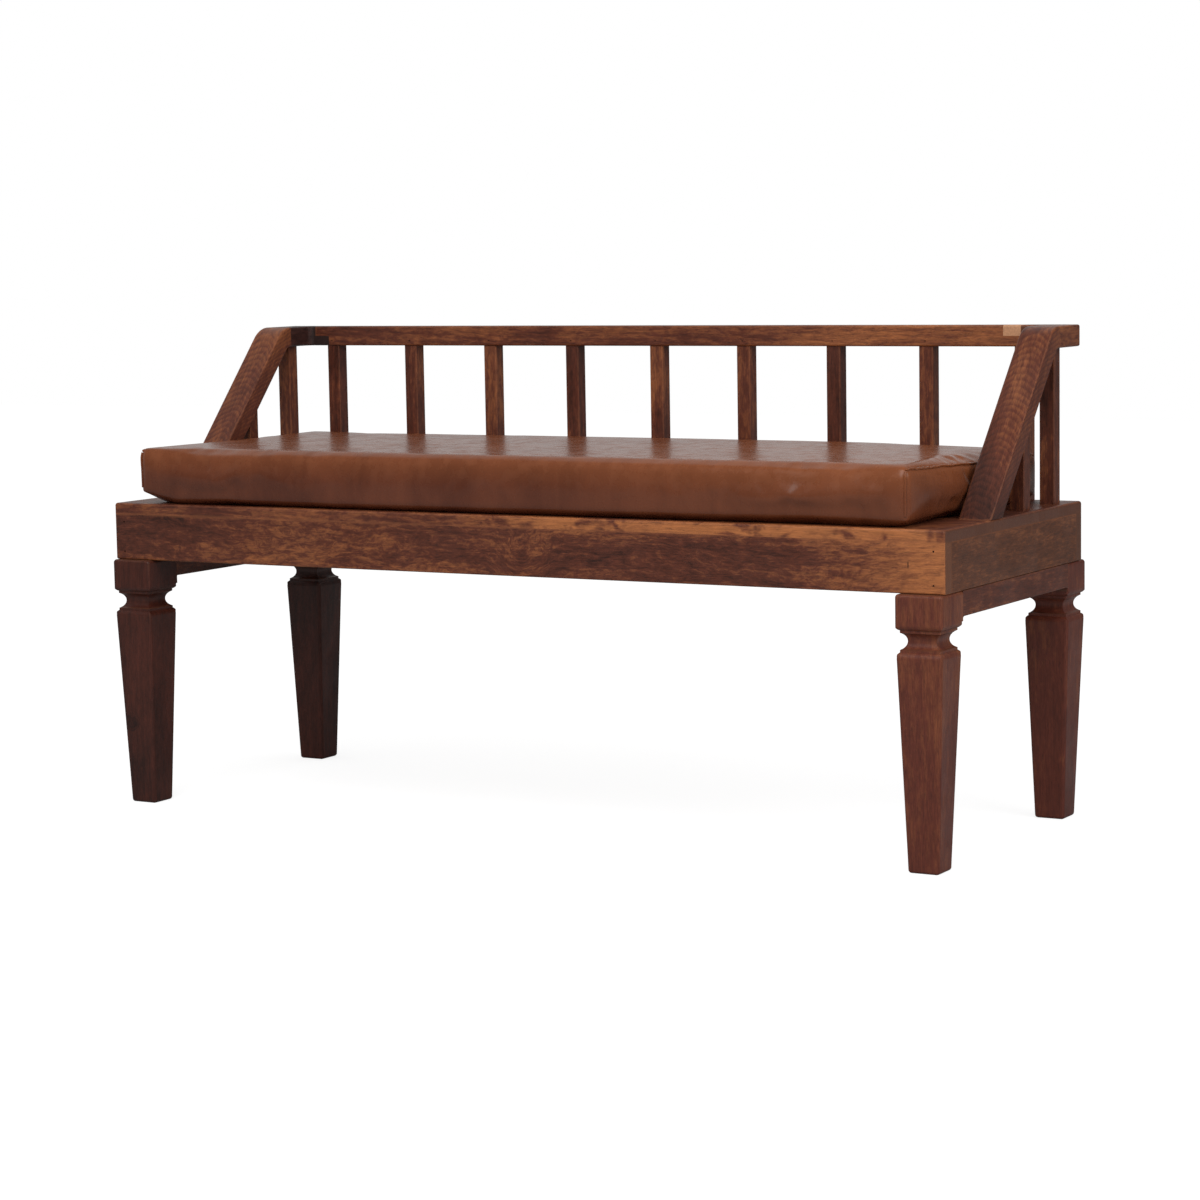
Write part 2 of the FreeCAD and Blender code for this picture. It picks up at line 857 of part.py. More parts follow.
def lap_brad(side, clearance=0.0, set_depth=brad_set_depth):
    """A brad down through both halves of a lap joint, or its hole."""
    centre = sum(lap_limits(side)) / 2
    start = Vector(side * centre, rail_back_y - rail_depth / 2, back_top_height - set_depth)
    length = brad_set_depth + rail_thickness - 2 * brad_set_depth - set_depth
    return peg(start, DOWN, length, brad_diameter + 2 * clearance)


# Cushion


def cushion_section(x, shrink, rise, draw, inset):
    """One upright section of the cushion, as a wire of lines and arcs."""
    front = cushion_front_y + draw + shrink + inset
    back = cushion_back_y - draw - shrink - inset
    low = seat_height + shrink + inset
    high = seat_height + cushion_height + rise - shrink - inset
    lower = cushion_bottom_radius - inset
    upper = cushion_top_radius - inset
    lower_share = lower * (1 - math.sqrt(0.5))
    upper_share = upper * (1 - math.sqrt(0.5))
    middle_y = (front + back) / 2
    middle_z = (low + lower + high - upper) / 2

    def at(y, z):
        return Vector(x, y, z)

    steps = [
        (at(front + lower, low), at(back - lower, low)),
        (
            at(back - lower, low),
            at(back - lower_share, low + lower_share),
            at(back, low + lower),
        ),
        (
            at(back, low + lower),
            at(back + cushion_side_swell, middle_z),
            at(back, high - upper),
        ),
        (
            at(back, high - upper),
            at(back - upper_share, high - upper_share),
            at(back - upper, high),
        ),
        (
            at(back - upper, high),
            at(middle_y, high + cushion_top_arch),
            at(front + upper, high),
        ),
        (
            at(front + upper, high),
            at(front + upper_share, high - upper_share),
            at(front, high - upper),
        ),
        (
            at(front, high - upper),
            at(front - cushion_side_swell, middle_z),
            at(front, low + lower),
        ),
        (
            at(front, low + lower),
            at(front + lower_share, low + lower_share),
            at(front + lower, low),
        ),
    ]
    return wire_through(steps)


def cushion_form(inset=0.0):
    """The form of the cushion: fuller in the middle, and drawn in between its corners."""
    half = cushion_half_length - inset
    end_radius = cushion_end_radius - inset
    body_half = half - end_radius

    def section(x, shrink):
        share = min(abs(x) / body_half, 1.0)
        rise = cushion_crown * (1 - share**2)
        draw = cushion_drawn_in * (1 - share**2)
        return cushion_section(x, shrink, rise, draw, inset)

    body = Part.makeLoft(
        [section(share * body_half, 0.0) for share in (-1.0, -0.5, 0.0, 0.5, 1.0)], True, False
    )
    caps = []
    for side in (-1, 1):
        wires = []
        for degrees in (90, 60, 30, 8):
            angle = math.radians(degrees)
            x = side * (body_half + end_radius * math.cos(angle))
            wires.append(section(x, end_radius * (1 - math.sin(angle))))
        caps.append(Part.makeLoft(wires, True, False))
    return body.fuse(caps)


# Assembly


def build_parts():
    """Every piece by its name, with its sockets and holes cut."""
    parts = {}
    spindle_x = [
        (index - (back_spindle_count - 1) / 2) * back_spindle_pitch + back_spindle_shift
        for index in range(back_spindle_count)
    ]
    batten_x = (("left", -batten_spacing), ("centre", 0.0), ("right", batten_spacing))

    seat_sockets = []
    for x in spindle_x:
        seat_sockets.append((x, back_spindle_y))
    for _, side in SIDES:
        seat_sockets.append((side * arm_centre_x, long_post_y))
        seat_sockets.append((side * arm_centre_x, short_spindle_y))
    seat_cuts = [
        tenon(x, y, seat_height, DOWN, seat_tenon_depth, tenon_side_clearance, tenon_end_clearance)
        for x, y in seat_sockets
    ]
    for _, x in batten_x:
        seat_cuts += board_screws(x, screw_clearance)
    for _, side in SIDES:
        seat_cuts += arm_screws(side, screw_clearance)
    for index in range(len(seat_joints_y) - 1):
        parts[f"seat_board_{index + 1}"] = seat_board(index).cut(seat_cuts)

    for end_name, end in ENDS:
        cuts = [batten_tenons(x, tenon_side_clearance, tenon_end_clearance) for _, x in batten_x]
        for _, side in SIDES:
            cuts += corner_block_screws(side, end, screw_clearance)
            cuts += apron_nails(side, end, 0.0)
        parts[f"{end_name}_apron"] = long_apron(end).cut(cuts)
    for side_name, side in SIDES:
        cuts = end_rail_screws(side, screw_clearance)
        for _, end in ENDS:
            cuts += corner_block_screws(side, end, screw_clearance)
            cuts += apron_nails(side, end, 0.0)
        parts[f"{side_name}_apron"] = side_apron(side).cut(cuts)
    for name, x in batten_x:
        parts[f"{name}_batten"] = batten(x).cut(board_screws(x, screw_clearance))

    for end_name, end in ENDS:
        leg_shape = plain_leg(end)
        for side_name, side in SIDES:
            bolt_x = side * leg_bolt_x
            bolt_y = end * leg_bolt_y
            hole = leg_bolt_hole(bolt_x, bolt_y)
            mortise = end_rail_tenon(side, tenon_side_clearance, tenon_end_clearance)
            leg = leg_shape.translated(Vector(side * leg_centre_x, end * leg_centre_y, 0))
            parts[f"{end_name}_{side_name}_leg"] = leg.cut([hole, mortise])
            glue_block = corner_block(side, end)
            screws = corner_block_screws(side, end, screw_clearance)
            parts[f"{end_name}_{side_name}_corner_block"] = glue_block.cut([hole] + screws)
    for side_name, side in SIDES:
        parts[f"{side_name}_end_rail"] = end_rail(side).cut(end_rail_screws(side, screw_clearance))

    rail_cuts = [lap_brad(side, 0.0, 0.0) for _, side in SIDES]
    for x in spindle_x:
        rail_cuts.append(
            tenon(
                x,
                back_spindle_y,
                rail_underside,
                UP,
                top_tenon_depth,
                tenon_side_clearance,
                tenon_end_clearance,
            )
        )
        rail_cuts.append(spindle_brad(x, 0.0, 0.0))
    for side_name, side in SIDES:
        dowel_hole = arm_dowel(side, tenon_side_clearance, tenon_end_clearance)
        spindle_socket = short_spindle_top(side, tenon_side_clearance, tenon_end_clearance)
        foot_holes = arm_screws(side, screw_clearance)
        parts[f"{side_name}_arm"] = arm(side).cut([dowel_hole, spindle_socket] + foot_holes)
        post_socket = tenon(
            side * arm_centre_x,
            long_post_y,
            rail_underside,
            UP,
            top_tenon_depth,
            tenon_side_clearance,
            tenon_end_clearance,
        )
        corner = corner_piece(side).cut([dowel_hole, post_socket] + rail_cuts)
        parts[f"{side_name}_corner_piece"] = corner
        parts[f"{side_name}_long_post"] = full_spindle(
            side * arm_centre_x, long_post_y, rail_underside
        )
        parts[f"{side_name}_short_spindle"] = short_spindle(side)

    for number, x in enumerate(spindle_x, start=1):
        spindle = full_spindle(x, back_spindle_y, rail_underside)
        parts[f"back_spindle_{number}"] = spindle.cut(spindle_brad(x))
    parts["top_rail"] = top_rail().cut(rail_cuts)

    corners = [(side, end) for _, end in ENDS for _, side in SIDES]
    parts["leg_bolts"] = group([leg_bolt(s * leg_bolt_x, e * leg_bolt_y) for s, e in corners])
    parts["leg_bolt_washers"] = group(
        [leg_bolt_washer(s * leg_bolt_x, e * leg_bolt_y) for s, e in corners]
    )
    parts["corner_block_screws"] = group(
        [screw for s, e in corners for screw in corner_block_screws(s, e)]
    )
    parts["end_rail_screws"] = group([screw for _, s in SIDES for screw in end_rail_screws(s)])
    parts["seat_board_screws"] = group([screw for _, x in batten_x for screw in board_screws(x)])
    parts["arm_screws"] = group([screw for _, s in SIDES for screw in arm_screws(s)])
    parts["arm_dowels"] = group([arm_dowel(s) for _, s in SIDES])
    parts["apron_nails"] = group([nail for s, e in corners for nail in apron_nails(s, e)])
    parts["rail_brads"] = group(
        [spindle_brad(x) for x in spindle_x] + [lap_brad(s) for _, s in SIDES]
    )

    cavity = cushion_form(cushion_cover_thickness)
    parts["cushion_cover"] = cushion_form().cut(cavity)
    parts["cushion_foam"] = cushion_form(cushion_cover_thickness + cushion_foam_gap)
    return parts


def main():
    os.makedirs("parts", exist_ok=True)
    parts = build_parts()
    for name, shape in parts.items():
        shape.exportStep(f"parts/{name}.step")
        box = shape.BoundBox
        print(
            f"{name}: {len(shape.Solids)} solid, valid {shape.isValid()},"
            f" X {box.XMin:.1f} to {box.XMax:.1f}, Y {box.YMin:.1f} to {box.YMax:.1f},"
            f" Z {box.ZMin:.1f} to {box.ZMax:.1f}"
        )
    print(f"{len(parts)} pieces written")


main()
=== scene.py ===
"""Looks of a deacons bench: stained wood, a leather cushion and a plain pale studio."""

import logging
import math
from dataclasses import dataclass, field, replace
from enum import Enum

import bmesh
import bpy
from mathutils import Matrix, Vector, kdtree, noise


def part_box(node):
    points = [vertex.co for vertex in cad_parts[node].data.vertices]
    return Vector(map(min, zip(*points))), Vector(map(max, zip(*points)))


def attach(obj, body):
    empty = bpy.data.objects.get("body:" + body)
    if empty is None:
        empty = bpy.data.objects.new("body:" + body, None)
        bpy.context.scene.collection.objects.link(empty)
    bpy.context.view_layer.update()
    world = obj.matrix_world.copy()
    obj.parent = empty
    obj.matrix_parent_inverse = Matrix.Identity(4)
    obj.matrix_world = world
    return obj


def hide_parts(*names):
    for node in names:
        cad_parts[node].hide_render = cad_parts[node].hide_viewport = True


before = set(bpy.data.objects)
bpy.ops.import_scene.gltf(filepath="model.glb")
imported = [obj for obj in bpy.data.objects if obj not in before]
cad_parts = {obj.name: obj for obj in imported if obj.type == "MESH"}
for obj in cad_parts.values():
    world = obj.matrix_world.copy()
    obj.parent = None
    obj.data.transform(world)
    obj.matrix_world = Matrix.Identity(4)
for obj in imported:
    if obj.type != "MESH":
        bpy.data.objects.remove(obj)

logging.basicConfig(level=logging.INFO, format="%(levelname)s %(message)s")
log = logging.getLogger("deacons_bench")

Colour = tuple[float, float, float]
Place = tuple[float, float, float]
Socket = bpy.types.NodeSocket


def srgb(red: int, green: int, blue: int) -> Colour:
    """Turns a colour as seen on screen into the linear values that a shader reads.

    Args:
        red: Red from 0 to 255.
        green: Green from 0 to 255.
        blue: Blue from 0 to 255.

    Returns:
        The linear red, green and blue, from 0 to 1.
    """

    def linear(value: int) -> float:
        """Turns one channel, from 0 to 255, into its linear value."""
        share = value / 255
        return share / 12.92 if share <= 0.04045 else ((share + 0.055) / 1.055) ** 2.4

    return linear(red), linear(green), linear(blue)


class Grain(Enum):
    """Which way the wood's fibres run in a piece."""

    ALONG = "along the bench"
    DEEP = "from front to back"
    UPRIGHT = "upright"


class Wiring:
    """Adds nodes to one node tree and joins them."""

    def __init__(self, tree: bpy.types.NodeTree) -> None:
        """Keeps the tree that is wired.

        Args:
            tree: A material's tree or a node group.
        """
        self.tree = tree
        self.column = 0

    def add(self, kind: str, **settings: object) -> bpy.types.Node:
        """Adds a node with its settings.

        Args:
            kind: The node's type name, without ShaderNode in front.
            settings: Attributes of the node and their values.

        Returns:
            The new node.
        """
        node = self.tree.nodes.new("ShaderNode" + kind)
        for name, value in settings.items():
            setattr(node, name, value)
        node.location = (180 * self.column, -40 * (self.column % 5))
        self.column += 1
        return node

    def feed(self, socket: Socket, value: object) -> None:
        """Gives an input a link from another node, or a plain value.

        Args:
            socket: The input.
            value: An output socket, a number or a tuple.
        """
        if isinstance(value, Socket):
            self.tree.links.new(value, socket)
        else:
            socket.default_value = value

    def maths(self, operation: str, *values: object) -> Socket:
        """Works out a number from others.

        Args:
            operation: The Math node's operation.
            values: Output sockets or numbers.

        Returns:
            The result's socket.
        """
        node = self.add("Math", operation=operation)
        for socket, value in zip(node.inputs, values):
            self.feed(socket, value)
        return node.outputs[0]

    def vector(self, operation: str, *values: object) -> Socket:
        """Works out a vector from others.

        Args:
            operation: The Vector Math node's operation.
            values: Output sockets or tuples.

        Returns:
            The result's socket, which is a number for LENGTH and DOT_PRODUCT.
        """
        node = self.add("VectorMath", operation=operation)
        for socket, value in zip(node.inputs, values):
            self.feed(socket, value)
        return node.outputs["Value" if operation in ("LENGTH", "DOT_PRODUCT") else "Vector"]

    def split(self, vector: object) -> bpy.types.bpy_prop_collection:
        """Splits a vector.

        Args:
            vector: The vector's socket.

        Returns:
            Its X, Y and Z sockets.
        """
        node = self.add("SeparateXYZ")
        self.feed(node.inputs[0], vector)
        return node.outputs

    def join(self, x: object, y: object, z: object) -> Socket:
        """Joins three numbers into a vector.

        Args:
            x: Socket or number along X.
            y: Socket or number along Y.
            z: Socket or number along Z.

        Returns:
            The vector.
        """
        node = self.add("CombineXYZ")
        for socket, value in zip(node.inputs, (x, y, z)):
            self.feed(socket, value)
        return node.outputs[0]

    def bump(self, shader: bpy.types.Node, height: object, strength: float, distance: float) -> None:
        """Gives a shader a small relief.

        Args:
            shader: The shader.
            height: The relief's socket.
            strength: How strong it is, from 0 to 1.
            distance: Its depth, in metres.
        """
        node = self.add("Bump")
        node.inputs["Strength"].default_value = strength
        node.inputs["Distance"].default_value = distance
        self.feed(node.inputs["Height"], height)
        self.feed(shader.inputs["Normal"], node.outputs[0])

    def noise(
        self, vector: object, scale: float, detail: float, roughness: float = 0.5, distortion: float = 0.0
    ) -> Socket:
        """Adds a noise texture.

        Args:
            vector: Where the texture is read.
            scale: Its scale, per metre.
            detail: How many finer layers it has.
            roughness: How strong those layers are.
            distortion: How much it is bent.

        Returns:
            The noise's value.
        """
        node = self.add("TexNoise")
        for name, value in (
            ("Vector", vector),
            ("Scale", scale),
            ("Detail", detail),
            ("Roughness", roughness),
            ("Distortion", distortion),
        ):
            self.feed(node.inputs[name], value)
        return node.outputs["Fac"]

    def smooth(
        self, value: object, low: float, high: float, to_low: float = 0.0, to_high: float = 1.0
    ) -> Socket:
        """Maps a value from one range to another along a soft step.

        Args:
            value: The value.
            low: Start of its range.
            high: End of its range.
            to_low: Result at the start.
            to_high: Result at the end.

        Returns:
            The result's socket.
        """
        node = self.add("MapRange", interpolation_type="SMOOTHSTEP")
        for socket, given in zip(node.inputs, (value, low, high, to_low, to_high)):
            self.feed(socket, given)
        return node.outputs[0]

    def mix(self, share: object, first: object, second: object, blend: str = "MIX") -> Socket:
        """Mixes two colours.

        Args:
            share: How much of the second, from 0 to 1.
            first: Socket or linear colour.
            second: Socket or linear colour.
            blend: How they are mixed.

        Returns:
            The mixed colour.
        """
        node = self.add("Mix", data_type="RGBA", blend_type=blend)
        self.feed(node.inputs["Factor"], share)
        for socket, colour in ((node.inputs[6], first), (node.inputs[7], second)):
            self.feed(socket, (*colour, 1.0) if isinstance(colour, tuple) else colour)
        return node.outputs[2]


PLACE_INPUT = ("Vector", "NodeSocketVector", (0.0, 0.0, 0.0))


class EffectGroup:
    """A node group for one effect, built once and used by several materials."""

    name = "effect"
    inputs: tuple[tuple[str, str, object], ...] = ()
    outputs: tuple[str, ...] = ()

    def tree(self) -> bpy.types.NodeTree:
        """Finds the group, or builds it the first time.

        Returns:
            The node group.
        """
        found = bpy.data.node_groups.get(self.name)
        if found:
            return found
        made = bpy.data.node_groups.new(self.name, "ShaderNodeTree")
        for name, kind, value in self.inputs:
            socket = made.interface.new_socket(name=name, in_out="INPUT", socket_type=kind)
            socket.default_value = value
        for name in self.outputs:
            made.interface.new_socket(name=name, in_out="OUTPUT", socket_type="NodeSocketFloat")
        wiring = Wiring(made)
        source = made.nodes.new("NodeGroupInput")
        target = made.nodes.new("NodeGroupOutput")
        for name, result in self.wire(wiring, source.outputs).items():
            made.links.new(result, target.inputs[name])
        return made

    def wire(self, wiring: Wiring, given: object) -> dict[str, Socket]:
        """Makes the effect's nodes.

        Args:
            wiring: The group's wiring.
            given: The group's input sockets, by name.

        Returns:
            The socket for each output name.
        """
        raise NotImplementedError

    def place(self, wiring: Wiring, **values: object) -> bpy.types.Node:
        """Puts the group in a material.

        Args:
            wiring: The material's wiring.
            values: Values or sockets for its inputs, with _ for each space.

        Returns:
            The group's node.
        """
        node = wiring.add("Group")
        node.node_tree = self.tree()
        for name, value in values.items():
            wiring.feed(node.inputs[name.replace("_", " ")], value)
        return node


class KnotGroup(EffectGroup):
    """A knot: how far the fibres bulge round it, and its dark heart."""

    name = "knot"
    inputs = (
        PLACE_INPUT,
        ("Centre", "NodeSocketVector", (0.0, 0.0, -9.0)),
        ("Reach", "NodeSocketFloat", 0.03),
    )
    outputs = ("Bulge", "Heart")

    def wire(self, wiring: Wiring, given: object) -> dict[str, Socket]:
        """Makes the knot's nodes. See EffectGroup.wire."""
        away = wiring.vector("SUBTRACT", given["Vector"], given["Centre"])
        uneven = wiring.maths("MULTIPLY", wiring.noise(given["Vector"], 38.0, 2.0), given["Reach"])
        distance = wiring.maths("MULTIPLY_ADD", uneven, 0.8, wiring.vector("LENGTH", away))
        share = wiring.maths("DIVIDE", distance, given["Reach"])
        return {
            "Bulge": wiring.smooth(share, 0.2, 1.5, 1.0, 0.0),
            "Heart": wiring.smooth(share, 0.35, 0.75, 1.0, 0.0),
        }


class WoodGrainGroup(EffectGroup):
    """Growth rings, streaks, blotches of stain, mottle, fibres and pores, with the grain along X."""

    name = "wood_grain"
    inputs = (
        PLACE_INPUT,
        ("Ring Spacing", "NodeSocketFloat", 0.009),
        ("Swirl", "NodeSocketFloat", 0.3),
        ("Blotch Scale", "NodeSocketFloat", 9.0),
        ("Bulge", "NodeSocketFloat", 0.0),
        ("Heart", "NodeSocketVector", (0.0, -0.05, 0.03)),
        ("Tilt", "NodeSocketFloat", 0.05),
    )
    outputs = ("Rings", "Streaks", "Blotches", "Mottle", "Fibre", "Pores")

    def wire(self, wiring: Wiring, given: object) -> dict[str, Socket]:
        """Makes the grain's nodes. See EffectGroup.wire."""
        place = given["Vector"]
        drawn = wiring.vector("MULTIPLY", place, (0.3, 1.0, 1.0))
        warp = wiring.add("TexNoise")
        wiring.feed(warp.inputs["Vector"], drawn)
        wiring.feed(warp.inputs["Scale"], 14.0)
        wiring.feed(warp.inputs["Detail"], 3.0)
        centred = wiring.vector("SUBTRACT", warp.outputs["Color"], (0.5, 0.5, 0.5))
        amount = wiring.maths("MULTIPLY", given["Swirl"], 0.08)
        bend = wiring.vector("MULTIPLY", centred, wiring.join(amount, amount, amount))
        aside = wiring.maths("MULTIPLY", given["Bulge"], 0.022)
        upward = wiring.maths("MULTIPLY", given["Bulge"], 0.034)
        shift = wiring.join(0.0, aside, upward)
        bent = wiring.vector("ADD", wiring.vector("ADD", place, bend), shift)
        long_run = wiring.vector("MULTIPLY", bent, (0.07, 1.0, 1.0))
        streaks = wiring.noise(long_run, 150.0, 4.0, 0.68, 0.3)
        patch_run = wiring.vector("MULTIPLY", bent, (0.36, 1.0, 1.0))
        blotches = wiring.noise(patch_run, given["Blotch Scale"], 5.0, 0.58, 1.0)
        curl_run = wiring.vector("MULTIPLY", bent, (0.3, 1.0, 1.0))
        mottle = wiring.noise(curl_run, 230.0, 4.0, 0.75, 0.5)
        fibre_run = wiring.vector("MULTIPLY", place, (0.05, 1.0, 1.0))
        fibre = wiring.noise(fibre_run, 900.0, 3.0, 0.65)
        pore_run = wiring.vector("MULTIPLY", place, (0.09, 1.0, 1.0))
        pore = wiring.noise(pore_run, 1150.0, 1.0, 0.5)
        return {
            "Rings": self.rings(wiring, bent, given),
            "Streaks": wiring.smooth(streaks, 0.26, 0.74),
            "Blotches": wiring.smooth(blotches, 0.25, 0.75),
            "Mottle": wiring.smooth(mottle, 0.28, 0.72),
            "Fibre": fibre,
            "Pores": wiring.smooth(pore, 0.62, 0.74),
        }

    def rings(self, wiring: Wiring, bent: Socket, given: object) -> Socket:
        """Makes the growth rings: soft towards the bark, sharp at each winter line.

        Args:
            wiring: The group's wiring.
            bent: The warped place.
            given: The group's input sockets, by name.

        Returns:
            The rings, from 0 to 1.
        """
        x, y, z = wiring.split(wiring.vector("SUBTRACT", bent, given["Heart"]))
        rise_along = wiring.maths("MULTIPLY", x, given["Tilt"])
        across = wiring.vector("LENGTH", wiring.join(0.0, y, z))
        radius = wiring.maths("ADD", across, rise_along)
        phase = wiring.maths("FRACT", wiring.maths("DIVIDE", radius, given["Ring Spacing"]))
        rise = wiring.smooth(phase, 0.0, 0.7)
        fall = wiring.smooth(phase, 0.78, 1.0, 1.0, 0.0)
        return wiring.maths("MULTIPLY", rise, fall)


class EdgeWearGroup(EffectGroup):
    """Mask of the worn strip along the edges of a squared piece between two corners."""

    name = "edge_wear"
    inputs = (
        PLACE_INPUT,
        ("Centre", "NodeSocketVector", (0.0, 0.0, 0.0)),
        ("Half Size", "NodeSocketVector", (1.0, 1.0, 1.0)),
        ("Width", "NodeSocketFloat", 0.004),
    )
    outputs = ("Edge",)

    def wire(self, wiring: Wiring, given: object) -> dict[str, Socket]:
        """Makes the mask's nodes. See EffectGroup.wire."""
        from_centre = wiring.vector("SUBTRACT", given["Vector"], given["Centre"])
        depth = wiring.vector("SUBTRACT", given["Half Size"], wiring.vector("ABSOLUTE", from_centre))
        x, y, z = wiring.split(depth)
        nearest = wiring.maths("MINIMUM", wiring.maths("MINIMUM", x, y), z)
        furthest = wiring.maths("MAXIMUM", wiring.maths("MAXIMUM", x, y), z)
        total = wiring.maths("ADD", wiring.maths("ADD", x, y), z)
        middle = wiring.maths("SUBTRACT", wiring.maths("SUBTRACT", total, nearest), furthest)
        uneven = wiring.noise(given["Vector"], 34.0, 4.0, 0.65)
        reach = wiring.maths("MULTIPLY", given["Width"], wiring.smooth(uneven, 0.3, 0.75, 0.25, 1.6))
        share = wiring.maths("DIVIDE", middle, reach)
        return {"Edge": wiring.smooth(share, 0.15, 1.0, 1.0, 0.0)}


class CoatCloudsGroup(EffectGroup):
    """Faint cloudiness of a handled clear coat."""

    name = "coat_clouds"
    inputs = (
        PLACE_INPUT,
        ("Scale", "NodeSocketFloat", 14.0),
    )
    outputs = ("Clouds", "Ripple")

    def wire(self, wiring: Wiring, given: object) -> dict[str, Socket]:
        """Makes the clouds' nodes. See EffectGroup.wire."""
        clouds = wiring.noise(given["Vector"], given["Scale"], 5.0, 0.6, 0.3)
        ripple = wiring.noise(given["Vector"], wiring.maths("MULTIPLY", given["Scale"], 4.0), 2.0)
        return {"Clouds": wiring.smooth(clouds, 0.3, 0.7), "Ripple": ripple}


class LeatherGrainGroup(EffectGroup):
    """Pebbled grain, soft creases and mottled colour of waxed leather."""

    name = "leather_grain"
    inputs = (PLACE_INPUT,)
    outputs = ("Pebbles", "Creases", "Mottle", "Rub")

    def wire(self, wiring: Wiring, given: object) -> dict[str, Socket]:
        """Makes the leather's nodes. See EffectGroup.wire."""
        place = given["Vector"]
        cells = wiring.add("TexVoronoi", feature="SMOOTH_F1")
        wiring.feed(cells.inputs["Vector"], place)
        wiring.feed(cells.inputs["Scale"], 720.0)
        wiring.feed(cells.inputs["Smoothness"], 0.6)
        fine = wiring.noise(place, 1500.0, 2.0)
        pebbles = wiring.maths("ADD", cells.outputs["Distance"], wiring.maths("MULTIPLY", fine, 0.35))
        upright = wiring.vector("MULTIPLY", place, (1.0, 1.0, 0.35))
        creases = wiring.noise(upright, 24.0, 4.0, 0.55, 0.6)
        mottle = wiring.noise(upright, 17.0, 5.0, 0.6, 0.5)
        rub = wiring.noise(place, 60.0, 4.0, 0.6)
        return {
            "Pebbles": pebbles,
            "Creases": creases,
            "Mottle": wiring.smooth(mottle, 0.3, 0.72),
            "Rub": wiring.smooth(rub, 0.35, 0.75),
        }


def new_material(name: str) -> tuple[bpy.types.Material, Wiring, bpy.types.Node]:
    """Starts a material with one Principled shader.

    Args:
        name: The material's name.

    Returns:
        The material, its wiring and the shader.
    """
    material = bpy.data.materials.new(name)
    material.use_nodes = True
    material.node_tree.nodes.clear()
    wiring = Wiring(material.node_tree)
    shader = wiring.add("BsdfPrincipled")
    output = wiring.add("OutputMaterial")
    wiring.feed(output.inputs["Surface"], shader.outputs["BSDF"])
    return material, wiring, shader


